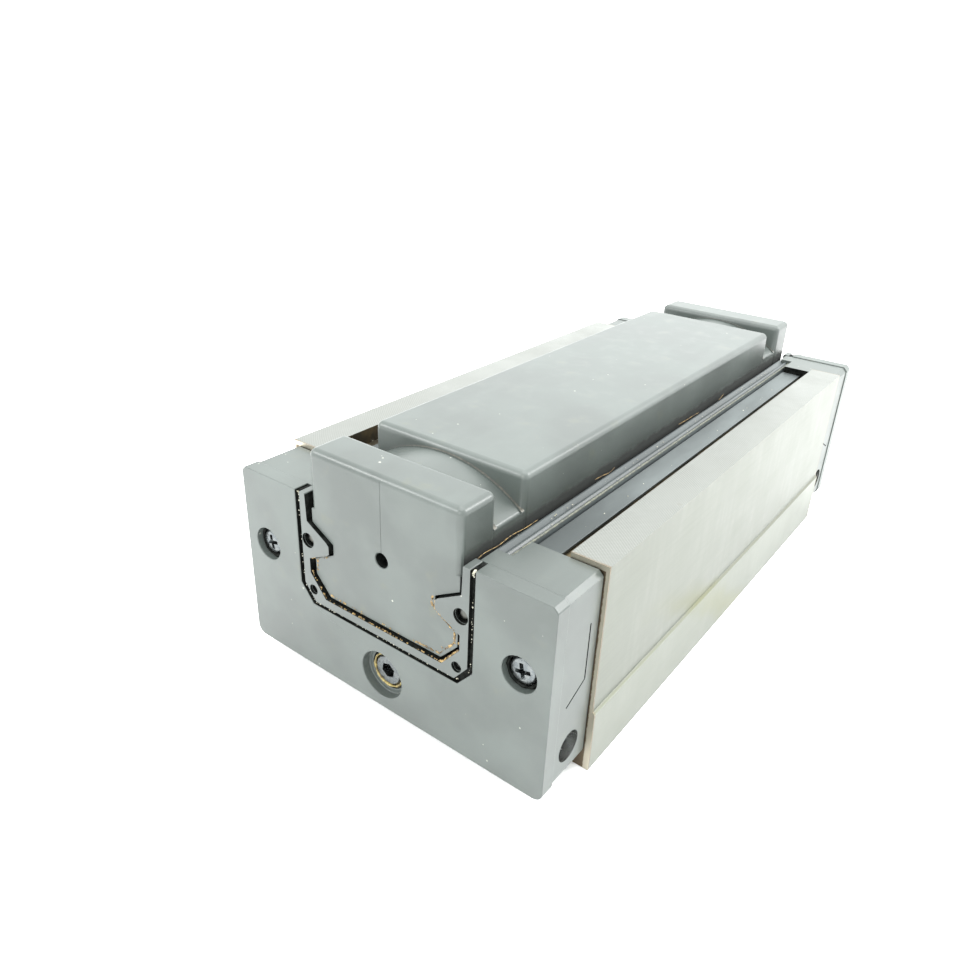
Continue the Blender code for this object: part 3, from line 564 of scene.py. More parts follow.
def dried_paste(name, light, dark, roughness=0.6, ior=1.45):
    """Lumpy dried sealant or grease, from a light to a dark tone."""
    shade = Shade(name, ior=ior)
    patch = shade.span(shade.noise(1.3, 4.0), 0.36, 0.64)
    base = shade.mix(patch, dark, light)
    gloss = shade.noise(0.7, 3.0, shift=(1.0, 4.0, 2.0))
    sheen = shade.span(gloss, 0.3, 0.7, roughness - 0.25, roughness + 0.1)
    return shade.finish(base, sheen, [(shade.noise(0.35, 3.0), 0.5, 0.08)])


PLASTIC_TONE = (0.058, 0.068, 0.063)
STEEL_TONE = (0.190, 0.195, 0.182)
FLANK_TONE = (0.147, 0.155, 0.134)
LOOKS = {
    "black_plastic": moulded_plastic("cover_plastic_look", PLASTIC_TONE, 0.39, worn=0.6),
    # The rail plastic has painted shade at the foot of its flanks.
    "rail_plastic": moulded_plastic("rail_plastic_look", grey(0.95, PLASTIC_TONE), 0.36, worn=1.0, dust=0.8,
                                    shaded_foot=True),
    "guide_plastic": moulded_plastic("guide_plastic_look", (0.42, 0.40, 0.33), 0.42, worn=0.8, dust=0.2),
    "black_rubber": moulded_plastic("rubber_look", (0.040, 0.048, 0.049), 0.38, worn=0.3, grain=0.10),
    "seal_rubber": moulded_plastic("seal_rubber_look", (0.060, 0.069, 0.065), 0.40, worn=0.4, grain=0.10),
    # Paler paste on the arch rims: a painted highlight along each rim, tinted as dust.
    "rim_highlight_and_dust": dried_paste("rim_highlight_and_dust_look", (0.115, 0.108, 0.090), (0.070, 0.070, 0.060)),
    "lip_edge": dried_paste("lip_edge_look", (0.105, 0.108, 0.080), (0.055, 0.060, 0.050)),
    "milled_steel": milled_steel("milled_steel_look", STEEL_TONE),
    "oily_flank": flank_steel("oily_flank_look", FLANK_TONE, oiled=True),
    "flank": flank_steel("flank_look", FLANK_TONE, oiled=False),
    "end_steel": end_face_steel("end_face_look", (0.40, 0.37, 0.30)),
    "raw_steel": raw_steel("raw_steel_look", (0.150, 0.140, 0.105), 0.40, 0.6),
    # Half as bright as the raw steel: painted shade in the recess beside the strips, with its brown oil
    # stains.
    "recess_steel": raw_steel("recess_steel_look", (0.075, 0.066, 0.048), 0.5, 0.8),
    "dark_steel": raw_steel("dark_steel_look", (0.070, 0.074, 0.070), 0.35, 0.15),
    "strip_steel": strip_steel_look("strip_steel_look"),
    "ball_steel": polished_steel("ball_steel_look"),
    "plated_steel": plated_steel("plated_steel_look"),
    "port_steel": raw_steel("port_steel_look", (0.55, 0.56, 0.55), 0.22, 0.3),
    "thread_sealant": dried_paste("sealant_look", (0.30, 0.24, 0.085), (0.12, 0.09, 0.04)),
    "dried_grease": dried_paste("dried_grease_look", (0.30, 0.20, 0.075), (0.055, 0.034, 0.014)),
    "pale_dust": dried_paste("pale_dust_look", (0.42, 0.41, 0.34), (0.20, 0.19, 0.14), 0.8),
    # Near-black paste: painted shade on the walls of slots, windows, seal lips, holes and grooves, and grease
    # and grime round the screws and in the window gaps.
    "sludge_and_shade": dried_paste("sludge_and_shade_look", (0.009, 0.010, 0.009), (0.002, 0.0025, 0.002), 0.7, ior=1.15),
}


# ---------------------------------------------------------------- handing pieces to the frame

def show(item, nodes, body, slot, looks=None):
    """Let a finished piece stand for its CAD nodes on a body, with its materials."""
    picked = [face.material_index for face in item.data.polygons]
    item.data.materials.clear()
    for look in looks or [slot]:
        item.data.materials.append(LOOKS[look])
    item.data.polygons.foreach_set("material_index", picked)
    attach(item, body)
    if nodes:
        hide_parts(*nodes)
    return item


def pick_materials(item, choose):
    """Give each face the material number that choose(centre, normal) returns."""
    for face in item.data.polygons:
        face.material_index = choose(face.center, face.normal)


# ---------------------------------------------------------------- steel block

def groove(row, floor_z=None):
    wall_angle = math.degrees(math.acos((SLOT_HALF_WIDTH - row[0]) / CHANNEL_RADIUS))
    if floor_z is None:
        return arc(row, CHANNEL_RADIUS, wall_angle, -wall_angle, 18)
    floor_angle = -180 - math.degrees(math.asin((floor_z - row[1]) / CHANNEL_RADIUS))
    return arc(row, CHANNEL_RADIUS, wall_angle, floor_angle, 30)


def body_outline():
    half = BODY_HIGH.x
    right = [
        (half, BODY_LOW.z), (half, LEDGE_HEIGHT), (UPPER_HALF_WIDTH, LEDGE_HEIGHT + 0.8 * MM),
        (UPPER_HALF_WIDTH, BODY_HIGH.z), (RECESS_HALF_WIDTH, BODY_HIGH.z),
        (RECESS_HALF_WIDTH, RECESS_FLOOR), (SLOT_HALF_WIDTH, RECESS_FLOOR),
    ]
    right += groove(CIRCUITS["upper"][0])
    right += groove(CIRCUITS["lower"][0], SLOT_FLOOR)
    return both_sides(right)


def thread_cutter(name, x, y):
    """A ringed cutter whose ridges look like a tapped thread, with a countersunk mouth."""
    crest = MOUNT_HOLE_RADIUS
    root = crest + 0.8 * MM
    profile = [(0.0, 2 * MM), (root + 1.0 * MM, 2 * MM), (root + 1.0 * MM, 0.0), (crest, -1.6 * MM)]
    turns = int((MOUNT_HOLE_DEPTH - 4 * MM) / THREAD_PITCH)
    for turn in range(turns):
        top = -2.0 * MM - turn * THREAD_PITCH
        profile += [(crest, top), (root, top - 0.45 * THREAD_PITCH), (root, top - 0.55 * THREAD_PITCH)]
    profile += [(crest, -MOUNT_HOLE_DEPTH + 1.5 * MM), (0.0, -MOUNT_HOLE_DEPTH)]
    return aim(turned(name, profile, 40), (x, y, 0.0), (0.0, 0.0, -1.0))


def make_slide_body():
    body = prism("slide_body_fine", body_outline(), BODY_LOW.y, BODY_HIGH.y)
    reach = HALF_BODY + 2 * MM
    for _, side in SIDES:
        for _, (x, z) in CIRCUITS.values():
            cut(body, cylinder("bore", RETURN_BORE_RADIUS, (side * x, -reach, z), (side * x, reach, z)))
        for _, end in ENDS:
            cut(body, cylinder("tapping", 2.8 * MM, (side * SCREW_PLACE[0], end * 0.093, SCREW_PLACE[1]),
                               (side * SCREW_PLACE[0], end * reach, SCREW_PLACE[1]), 24))
    soften(body, 0.45 * MM, 3)
    holes = [thread_cutter("thread", sx * MOUNT_HOLES[0], sy * MOUNT_HOLES[1])
             for sx in (-1, 1) for sy in (-1, 1)]
    cut(body, *holes)
    even_out(body, 40)

    def choose(centre, normal):
        inside = abs(centre.x) < RECESS_HALF_WIDTH + 0.1 * MM
        if abs(normal.y) > 0.9:
            return 5
        # The recess beside the strips gets the darker steel, which carries painted shade.
        if inside and centre.z > RECESS_FLOOR - 0.1 * MM and centre.z < BODY_HIGH.z - 0.6 * MM:
            return 4
        if inside and centre.z < BODY_HIGH.z - 0.6 * MM:
            return 3
        if normal.z > 0.7 and centre.z > RECESS_FLOOR:
            return 0
        return 1 if centre.x > 0 else 2

    pick_materials(body, choose)
    looks = ["milled_steel", "oily_flank", "flank", "raw_steel", "recess_steel", "end_steel"]
    show(body, ["slide_body"], CARRIAGE, "ground_steel", looks)


# ---------------------------------------------------------------- balls and guides

def turn_ball_places(side, end, load, back):
    """Centres of the two balls in the turn between a load row and its return bore."""
    radius = math.dist(load, back) / 2
    half_gap = math.asin(BALL_PITCH / 2 / radius)
    middle = Vector((side * (load[0] + back[0]) / 2, 0.0, (load[1] + back[1]) / 2))
    outward = Vector((side * (back[0] - load[0]), 0.0, back[1] - load[1])).normalized()
    places = []
    for angle in (math.pi / 2 - half_gap, math.pi / 2 + half_gap):
        centre = middle - outward * radius * math.cos(angle)
        centre.y = end * (HALF_BODY + radius * math.sin(angle))
        places.append(centre)
    return places


def make_ball_circuit(side_name, side, row, load, back):
    """All the balls of one endless circuit, as separate round bodies."""
    shape = bmesh.new()
    first_y = -BALL_PITCH * (BALLS_PER_ROW - 1) / 2
    places = []
    for (x, z), detail in ((load, 4), (back, 3)):
        places += [((side * x, first_y + step * BALL_PITCH, z), detail) for step in range(BALLS_PER_ROW)]
    for _, end in ENDS:
        places += [(centre, 3) for centre in turn_ball_places(side, end, load, back)]
    for centre, detail in places:
        bmesh.ops.create_icosphere(shape, subdivisions=detail, radius=BALL_RADIUS * 0.998,
                                   matrix=Matrix.Translation(centre))
    balls = keep_mesh(f"{side_name}_{row}_ball_set", shape)
    balls.data.shade_smooth()
    show(balls, [f"{side_name}_{row}_balls"], CARRIAGE, "ball_steel")


def turn_frame(side, end, load, back):
    middle = Vector((side * (load[0] + back[0]) / 2, end * HALF_BODY, (load[1] + back[1]) / 2))
    across = Vector((side * (back[1] - load[1]), 0.0, load[0] - back[0]))
    return middle, across


def make_turn_pocket(side, end, load, back):
    radius = math.dist(load, back) / 2
    seat = 7.5 * MM
    outer = arc((radius, 0.0), CHANNEL_RADIUS, 90, -90, 12)
    pocket = turned("pocket", [(0.0, seat), (radius, seat), *outer, (radius, -seat), (0.0, -seat)], 40)
    return aim(pocket, *turn_frame(side, end, load, back))


def make_return_guide(corner, side, end, row, load, back):
    radius = math.dist(load, back) / 2
    rim = radius - 0.5 * MM
    cheek = 7.2 * MM
    lip = math.degrees(math.acos((rim - radius) / CHANNEL_RADIUS))
    inner = arc((radius, 0.0), CHANNEL_RADIUS, lip, 360 - lip, 14)
    profile = [(0.0, cheek), (rim, cheek), *inner, (rim, -cheek), (0.0, -cheek)]
    guide = aim(turned(f"{corner}_{row}_guide_fine", profile, 40), *turn_frame(side, end, load, back))
    face = HALF_BODY + 0.3 * MM
    y_from, y_to = sorted((end * face, -end * HALF_BODY))
    cut(guide, block("other_half", (-0.1, y_from, 0.0), (0.1, y_to, 0.1)))
    soften(guide, 0.2 * MM, 1)
    show(guide, [f"{corner}_{row}_return_guide"], CARRIAGE, "guide_plastic")


def make_ball_retainer(side_name, side):
    """The keeper strip, crowned towards the rail."""
    low, high = KEEPER_LOW, KEEPER_HIGH
    middle = (low.z + high.z) / 2
    outline = [(low.x, middle - 1.9 * MM), (low.x, middle + 1.9 * MM), (high.x - 0.8 * MM, high.z),
               (high.x, high.z), (high.x, low.z), (high.x - 0.8 * MM, low.z)]
    strip = prism(f"{side_name}_retainer_fine", mirrored(rounded(outline, 0.4 * MM), side), low.y, high.y)
    soften(strip, 0.2 * MM, 1)
    show(strip, [f"{side_name}_ball_retainer"], CARRIAGE, "guide_plastic")


# ---------------------------------------------------------------- ends

def shell_outline(half_width, bottom, top, slot):
    corner = (half_width - BOTTOM_CORNER_RADIUS, bottom + BOTTOM_CORNER_RADIUS)
    right = arc(corner, BOTTOM_CORNER_RADIUS, -90, 0, 10)
    right += [(half_width, top - TOP_CORNER_CHAMFER), (half_width - TOP_CORNER_CHAMFER, top)]
    right += [(slot[0][0], top)] + slot
    return both_sides(right)


CAP_SLOT = [(32.5, 61.9), (27.0, 58.8), (27.0, 50.0), (32.0, 47.4), (32.0, 42.2), (24.6, 33.4)]
WINDOW_SLOT = [(35.3, 36.8), (30.0, 30.5)]
SEAL_LIP = [(28.9, 31.8), (33.5, 37.6), (33.5, 70.6), (31.0, 70.6), (30.7, 61.2), (22.4, 56.4), (21.4, 55.4),
            (21.4, 52.6), (22.4, 51.7), (30.5, 47.7), (30.5, 42.4), (24.0, 34.7)]
RAIL_SECTION = [
    (22.9, 35.5), (29.0, 42.2), (29.0, 47.9), (20.6, 52.2), (20.6, 55.9), (29.4, 60.9), (29.4, 66.0),
]


def in_mm(points):
    return [(x * MM, z * MM) for x, z in points]


def along(end, outer, inner):
    """The two ends of a run along Y between two distances from the middle, lowest first."""
    return sorted((end * outer, end * inner))


def make_end_cap(end_name, end):
    outer = abs(CAP_HIGH.y)
    y_from, y_to = along(end, outer, CAP_LOW.y)
    outline = shell_outline(CAP_HIGH.x, CAP_LOW.z, CAP_HIGH.z, in_mm(CAP_SLOT))
    cap = prism(f"{end_name}_end_cap_fine", outline, y_from, y_to)
    for _, side in SIDES:
        for load, back in CIRCUITS.values():
            cut(cap, make_turn_pocket(side, end, load, back))
        cut(cap, cylinder("hole", 2.8 * MM, (side * SCREW_PLACE[0], end * 0.1, SCREW_PLACE[1]),
                          (side * SCREW_PLACE[0], end * 0.13, SCREW_PLACE[1]), 24))
        port_floor = (side * (CAP_HIGH.x - 14 * MM), end * SIDE_PORT_Y, SIDE_PORT_Z)
        port_mouth = (side * (CAP_HIGH.x + 2 * MM), end * SIDE_PORT_Y, SIDE_PORT_Z)
        cut(cap, cylinder("port", SIDE_PORT_RADIUS, port_floor, port_mouth))
        x_from, x_to = sorted((side * 30.0 * MM, side * 37.7 * MM))
        y_low, y_high = along(end, 113.3 * MM, HALF_BODY - 2 * MM)
        cut(cap, block("notch", (x_from, y_low, RECESS_FLOOR), (x_to, y_high, BODY_HIGH.z + 2 * MM)))
        make_side_mark(cap, end, side)
    cut(cap, cylinder("bore", 5.7 * MM, (0.0, end * 0.1115, PORT_Z), (0.0, end * 0.13, PORT_Z)))
    soften(cap, 0.35 * MM)

    def choose(centre, normal):
        from_axis = math.hypot(abs(centre.y) - SIDE_PORT_Y, centre.z - SIDE_PORT_Z)
        if from_axis < SIDE_PORT_RADIUS + 0.05 * MM and abs(centre.x) < CAP_HIGH.x - 0.3 * MM:
            return 1
        # The slot walls, the inner face against the steel block and the faces of the engraved line get
        # near-black painted shade.
        slot_wall = abs(normal.y) < 0.5 and abs(centre.x) < 35 * MM and 30 * MM < centre.z < 69 * MM
        inner_face = abs(normal.y) > 0.9 and abs(centre.y) < HALF_BODY + 0.5 * MM
        in_mark = (CAP_HIGH.x - 0.5 * MM < abs(centre.x) < CAP_HIGH.x - 0.01 * MM
                   and abs(normal.x) < 0.97
                   and HALF_TOTAL - 19 * MM < abs(centre.y) < HALF_TOTAL - 9 * MM
                   and 32 * MM < centre.z < 57 * MM)
        return 2 if slot_wall or inner_face or in_mark else 0

    pick_materials(cap, choose)
    show(cap, [f"{end_name}_end_cap"], CARRIAGE, "black_plastic", ["black_plastic", "port_steel", "sludge_and_shade"])


def make_side_mark(cap, end, side):
    """The plain engraved frame line on the flank of a cap: a long stroke with a bent foot."""
    far = HALF_TOTAL
    strokes = [((far - 18.5 * MM, 56.0 * MM), (far - 18.5 * MM, 37.0 * MM)),
               ((far - 18.5 * MM, 37.0 * MM), (far - 9.5 * MM, 32.5 * MM))]
    for (y_one, z_one), (y_two, z_two) in strokes:
        start = Vector((side * CAP_HIGH.x, end * y_one, z_one))
        stop = Vector((side * CAP_HIGH.x, end * y_two, z_two))
        groove_line = cylinder("line", 0.30 * MM, start, stop, 8)
        cut(cap, groove_line)


def make_end_plate(end_name, end):
    y_from, y_to = along(end, HALF_TOTAL, PLATE_LOW.y)
    outline = shell_outline(PLATE_HIGH.x, PLATE_LOW.z, PLATE_HIGH.z, in_mm(WINDOW_SLOT))
    plate = prism(f"{end_name}_end_plate_fine", outline, y_from, y_to)
    outside = end * (HALF_TOTAL + 2 * MM)
    inside = end * (PLATE_LOW.y - 2 * MM)
    for _, side in SIDES:
        x, z = side * SCREW_PLACE[0], SCREW_PLACE[1]
        cut(plate, cylinder("recess", 5.7 * MM, (x, end * (HALF_TOTAL - 4.3 * MM), z), (x, outside, z)))
        cut(plate, cylinder("hole", 2.8 * MM, (x, inside, z), (x, outside, z), 24))
    port_floor = end * (HALF_TOTAL - 3.2 * MM)
    cut(plate, cylinder("recess", 8.3 * MM, (0.0, port_floor, PORT_Z), (0.0, outside, PORT_Z), 64))
    cut(plate, cylinder("hole", 6.75 * MM, (0.0, inside, PORT_Z), (0.0, outside, PORT_Z)))
    soften(plate, 0.32 * MM, 3)

    def choose(centre, normal):
        # The walls of the window get near-black painted shade.
        in_window = (abs(centre.x) < WINDOW_HALF_WIDTH + 0.1 * MM
                     and WINDOW_FLOOR - 0.1 * MM < centre.z < 70 * MM)
        return 1 if in_window and abs(normal.y) < 0.5 else 0

    pick_materials(plate, choose)
    show(plate, [f"{end_name}_end_plate"], CARRIAGE, "black_plastic", ["black_plastic", "sludge_and_shade"])


def make_end_seal(end_name, end):
    y_from, y_to = along(end, SEAL_HIGH.y, SEAL_LOW.y)
    outline = rounded(both_sides(in_mm(SEAL_LIP)), 0.35 * MM, 3)
    seal = prism(f"{end_name}_end_seal_fine", outline, y_from, y_to)
    round_ends(seal, 0.1 * MM)
    face = end * SEAL_HIGH.y
    for _, side in SIDES:
        for x, z, radius in SEAL_PINS.values():
            cut(seal, cylinder("hole", radius + 0.3 * MM, (side * x, end * (SEAL_LOW.y - 2 * MM), z),
                               (side * x, face + end * 2 * MM, z), 32))
            cut(seal, cylinder("dimple", radius + 0.5 * MM, (side * x, face - end * 0.8 * MM, z),
                               (side * x, face + end * 2 * MM, z), 32))
    even_out(seal)
    # The side walls below the top, with the walls of the pin holes and dimples, get near-black painted shade.
    pick_materials(seal, lambda centre, normal: 1 if abs(normal.y) < 0.5 and centre.z < 70 * MM else 0)
    show(seal, [f"{end_name}_end_seal"], CARRIAGE, "black_rubber", ["seal_rubber", "sludge_and_shade"])


def make_seal_pin(corner, side, end, level, place):
    x, z, radius = place
    radius -= 0.1 * MM
    face = end * (SEAL_HIGH.y - 1.2 * MM)
    length = abs(face) - SEAL_LOW.y
    dome = [(0.0, 0.0)] + [(radius * math.sin(a), 0.35 * radius * (math.cos(a) - 1.0))
                           for a in (0.4, 0.8, 1.2, math.pi / 2)]
    pin = turned(f"{corner}_{level}_seal_pin_fine", dome + [(radius, -length), (0.0, -length)], 24)
    aim(pin, (side * x, face, z), (0.0, end, 0.0))
    pin.data.shade_smooth()
    pin.data.set_sharp_from_angle(angle=math.radians(35))
    show(pin, [f"{corner}_{level}_seal_pin"], CARRIAGE, "plated_steel", ["dark_steel"])


def cross_cutter(name, depth):
    """A tapered cross that is cut into a screw head from above."""
    def cross(reach, half):
        corners = []
        for turn in range(4):
            spin = Matrix.Rotation(turn * math.pi / 2, 2)
            corners += [spin @ Vector(point) for point in ((reach, -half), (reach, half), (half, half))]
        return corners

    shape = bmesh.new()
    rings = []
    for height, reach, half in ((0.5 * MM, 3.0 * MM, 0.72 * MM), (-depth, 1.5 * MM, 0.42 * MM)):
        rings.append([shape.verts.new((x, y, height)) for x, y in cross(reach, half)])
    for step in range(len(rings[0])):
        following = (step + 1) % len(rings[0])
        shape.faces.new((rings[0][step], rings[1][step], rings[1][following], rings[0][following]))
    for ring in rings:
        shape.faces.new(ring)
    bmesh.ops.recalc_face_normals(shape, faces=shape.faces)
    return keep_mesh(name, shape)


def make_cap_screw(corner, side, end):
    head = 4.3 * MM
    dome = [(0.0, 0.0), (head * 0.45, -0.03 * MM), (head * 0.8, -0.22 * MM), (head * 0.95, -0.6 * MM),
            (head, -1.1 * MM), (head, -2.6 * MM)]
    shank_radius = 2.4 * MM
    shank = [(shank_radius, -2.6 * MM), (shank_radius, -29.2 * MM), (1.5 * MM, -30.0 * MM), (0.0, -30.0 * MM)]
    screw = turned(f"{corner}_cap_screw_fine", dome + shank, 48)
    cut(screw, cross_cutter("cross", 1.9 * MM))
    soften(screw, 0.1 * MM, 2, 40)
    face = (side * SCREW_PLACE[0], end * (HALF_TOTAL - SCREW_DEPTH), SCREW_PLACE[1])
    aim(screw, face, (0.0, end, 0.0), math.radians(12))
    show(screw, [f"{corner}_cap_screw"], CARRIAGE, "plated_steel")


def socket_plug(name, radius, length, socket, depth):
    edge = 0.5 * MM
    profile = [(0.0, 0.0), (radius - edge, 0.0), (radius, -edge)]
    turns = int((length - 2 * edge) / (1.0 * MM))
    for turn in range(turns):
        top = -edge - 0.1 * MM - turn * 1.0 * MM
        profile += [(radius, top), (radius - 0.45 * MM, top - 0.45 * MM), (radius, top - 0.9 * MM)]
    profile += [(radius - edge, -length), (0.0, -length)]
    plug = turned(name, profile, 40)
    profile = [(0.0, 1 * MM), (socket, 1 * MM), (socket, -depth), (0.0, -depth - 0.6 * MM)]
    hexagon = turned("hexagon", profile, 6)
    cut(plug, hexagon)
    return soften(plug, 0.12 * MM, 2, 40)


def make_grease_plug(end_name, end):
    plug = socket_plug(f"{end_name}_grease_plug_fine", 5.3 * MM, 10 * MM, 2.7 * MM, 4.5 * MM)
    aim(plug, (0.0, end * (HALF_TOTAL - PORT_PLUG_DEPTH), PORT_Z), (0.0, end, 0.0), math.radians(20))
    show(plug, [f"{end_name}_grease_plug"], CARRIAGE, "plated_steel")


def make_plug_sealant(end_name, end):
    """The ring of thread sealant squeezed out round the plug."""
    ring = lumpy_ring(f"{end_name}_plug_sealant_fine", 5.88 * MM, 0.30 * MM, 0.7, end)
    aim(ring, (0.0, end * (HALF_TOTAL - PORT_PLUG_DEPTH - 0.2 * MM), PORT_Z), (0.0, end, 0.0))
    show(ring, [f"{end_name}_plug_sealant"], CARRIAGE, "thread_sealant")


def make_side_port_plug(corner, side, end):
    radius = SIDE_PORT_RADIUS - 0.4 * MM
    plug = socket_plug(f"{corner}_side_port_plug_fine", radius, 6.5 * MM, 2.3 * MM, 3.5 * MM)
    face = side * (CAP_HIGH.x - SIDE_PLUG_DEPTH)
    aim(plug, (face, end * SIDE_PORT_Y, SIDE_PORT_Z), (side, 0.0, 0.0), math.radians(35))
    show(plug, [f"{corner}_side_port_plug"], CARRIAGE, "plated_steel")


# ---------------------------------------------------------------- strips beside the slot

def make_under_seal(side_name, side):
    """The rubber lip with a round nose at the rail and two ridges behind it."""
    low = LIP_LOW.z
    outline = [(31.4 * MM, low), (31.4 * MM, 68.9 * MM)]
    outline += arc((32.2 * MM, 69.0 * MM), 0.8 * MM, 180, 60, 6)
    outline += [(33.6 * MM, 68.8 * MM), (34.3 * MM, 68.9 * MM)]
    outline += arc((34.9 * MM, 69.0 * MM), 0.5 * MM, 150, 30, 5)
    outline += [(35.7 * MM, 68.8 * MM)]
    outline += arc((36.45 * MM, 69.0 * MM), 0.42 * MM, 140, 0, 5)
    outline += [(36.9 * MM, low)]
    lip = prism(f"{side_name}_under_seal_fine", mirrored(outline, side), LIP_LOW.y, LIP_HIGH.y)
    lip.data.shade_smooth()
    lip.data.set_sharp_from_angle(angle=math.radians(50))
    pick_materials(lip, lambda centre, normal: 1 if abs(centre.x) > 36.2 * MM and normal.z > 0.1 else 0)
    show(lip, [f"{side_name}_under_seal"], CARRIAGE, "black_rubber", ["black_rubber", "lip_edge"])


def make_under_strip(side_name, side):
    x_from, x_to = sorted((side * STRIP_LOW.x, side * STRIP_HIGH.x))
    low = (x_from, STRIP_LOW.y, STRIP_LOW.z)
    high = (x_to, STRIP_HIGH.y, STRIP_HIGH.z)
    strip = block(f"{side_name}_under_strip_fine", low, high)
    soften(strip, 0.25 * MM, 3)
    show(strip, [f"{side_name}_under_strip"], CARRIAGE, "strip_steel")


# ---------------------------------------------------------------- temporary rail

def arch_outline(extra=0.0):
    """The arched back of the rail, raised by an extra height for its rims."""
    rise = ARCH_TOP - ARCH_SPRING
    radius = (RAIL_SIDE ** 2 + rise ** 2) / (2 * rise) + extra
    centre = ARCH_TOP + extra - radius
    half_angle = math.degrees(math.asin(RAIL_SIDE / radius))
    top = arc((0.0, centre), radius, 90 - half_angle, 90 + half_angle, 48)
    return [(-RAIL_SIDE, 61.1 * MM), (RAIL_SIDE, 61.1 * MM)] + top


def rail_block(name, y_from, y_to):
    solid = block(name, (RAIL_LOW.x, y_from, 61.3 * MM), (RAIL_HIGH.x, y_to, RAIL_HIGH.z))
    return soften(solid, RAIL_EDGE, 6)


def make_temporary_rail():
    half = RAIL_HIGH.y - 0.1 * MM
    section = rounded(both_sides(in_mm(RAIL_SECTION)), 0.5 * MM, 4)
    rail = round_ends(prism("temporary_rail_fine", section, -half, half), 0.25 * MM)
    hidden = half - RAIL_BLOCK_LENGTH / 2
    join(rail, prism("arch", arch_outline(), -hidden, hidden))
    step = half - RAIL_BLOCK_LENGTH
    inner = step - RAIL_GAP
    join(rail, rail_block("middle", -inner, inner))
    for _, end in ENDS:
        join(rail, rail_block("end", *along(end, half, step)))
        rim = 0.7 * MM
        for face, outward in ((inner, 1), (step, -1)):
            y_from, y_to = sorted((end * (face - outward * rim), end * (face + outward * rim)))
            join(rail, prism("rim", arch_outline(0.45 * MM), y_from, y_to))
        hole = [(0.0, 1 * MM), (3.4 * MM, 1 * MM), (2.4 * MM, 0.0), (2.4 * MM, -20 * MM), (0.0, -20.8 * MM)]
        cut(rail, aim(turned("hole", hole, 40), (0.0, end * (half - 0.3 * MM), RAIL_HOLE_Z), (0.0, end, 0.0)))
        y_from, y_to = along(end, half + 1 * MM, half - 0.22 * MM)
        top = RAIL_HIGH.z + 1 * MM
        cut(rail, block("parting", (-0.09 * MM, y_from, RAIL_HOLE_Z), (0.09 * MM, y_to, top)))
    even_out(rail)
    rise = ARCH_TOP - ARCH_SPRING
    radius = (RAIL_SIDE ** 2 + rise ** 2) / (2 * rise)

    def choose(centre, normal):
        # The walls of the end holes and the flanks of the low part of the rail get near-black painted shade.
        in_hole = math.hypot(centre.x, centre.z - RAIL_HOLE_Z) < 2.5 * MM and abs(centre.y) < half - 0.5 * MM
        if in_hole or (abs(normal.y) < 0.3 and centre.z < 61.2 * MM):
            return 1
        # The crests of the rims get the paler paste, a painted highlight along each rim tinted as dust.
        crest = math.hypot(centre.x, centre.z - ARCH_TOP + radius) - radius
        on_rim = 0.3 * MM < crest < 0.6 * MM and normal.z > 0.5
        return 2 if on_rim and inner - 1 * MM < abs(centre.y) < step + 1 * MM else 0

    pick_materials(rail, choose)
    show(rail, ["temporary_rail"], RAIL, "rail_plastic", ["rail_plastic", "sludge_and_shade", "rim_highlight_and_dust"])


# ---------------------------------------------------------------- dirt of long use

def lump(shape, place, size, dice):
    """Add one uneven lump to a shape; size is its half extent along X, Y and Z."""
    corners = bmesh.ops.create_icosphere(shape, subdivisions=2, radius=1.0)["verts"]
    phase = Vector([dice.uniform(0.0, 50.0) for _ in range(3)])
    for corner in corners:
        swell = 1.0 + 0.5 * noise.noise(corner.co * 1.3 + phase)
        corner.co = Vector(place) + Vector([axis * half for axis, half in zip(corner.co * swell, size)])


def along_path(points, dice):
    """A random point on a line of (x, z) points."""
    pairs = list(zip(points, points[1:]))
    start, stop = dice.choices(pairs, weights=[math.dist(*pair) for pair in pairs])[0]
    return Vector(start).lerp(Vector(stop), dice.random())


def room_to_rail(x, z):
    """Distance in millimetres from a point to the outline of the temporary rail."""
    point = Vector((abs(x), z))
    corners = [Vector(corner) for corner in [(0.0, RAIL_SECTION[0][1]), *RAIL_SECTION]]
    nearest = []
    for start, stop in zip(corners, corners[1:]):
        share = (point - start).dot(stop - start) / (stop - start).length_squared
        nearest.append((point - start.lerp(stop, min(max(share, 0.0), 1.0))).length)
    return min(nearest)


def crust(name, runs, y, end, body, look, seed):
    """Crumbs along lines on an end face: each run is (points, count, size), in millimetres."""
    spare = 0.0 if body == RAIL else -0.05
    dice = random.Random(seed)
    shape = bmesh.new()
    for points, count, size in runs:
        for _ in range(count):
            x, z = along_path(points, dice) + Vector((dice.gauss(0.0, 0.14), dice.gauss(0.0, 0.14)))
            half = size * dice.uniform(0.25, 1.0) ** 1.5
            half = min(half, (room_to_rail(x, z) + spare) / 2.1)
            if half < 0.05:
                continue
            reach = Vector((half * dice.uniform(0.7, 1.4), half * 0.8, half)) * MM
            place = (x * MM, end * (y - 1.5 * reach.y - dice.uniform(0.0, 0.25) * MM), z * MM)
            lump(shape, place, reach, dice)
    crumbs = keep_mesh(name, shape)
    crumbs.data.shade_smooth()
    show(crumbs, [], body, "thread_sealant", [look])


def make_window_grease(end_name, end):
    """Black grease packed between the cover plate and its seal."""
    outer = [(35.28, 70.2), (35.28, 36.8), (29.98, 30.53)]
    inner = [(33.52, 70.2), (33.52, 37.6), (28.9, 31.82)]
    outline = outer + [(-x, z) for x, z in reversed(outer)] + [(-x, z) for x, z in inner] + inner[::-1]
    y_from, y_to = along(end, HALF_TOTAL - 1.3 * MM, PLATE_LOW.y)
    grease = prism(f"{end_name}_window_grease", in_mm(outline), y_from, y_to)
    show(grease, [], CARRIAGE, "black_rubber", ["sludge_and_shade"])


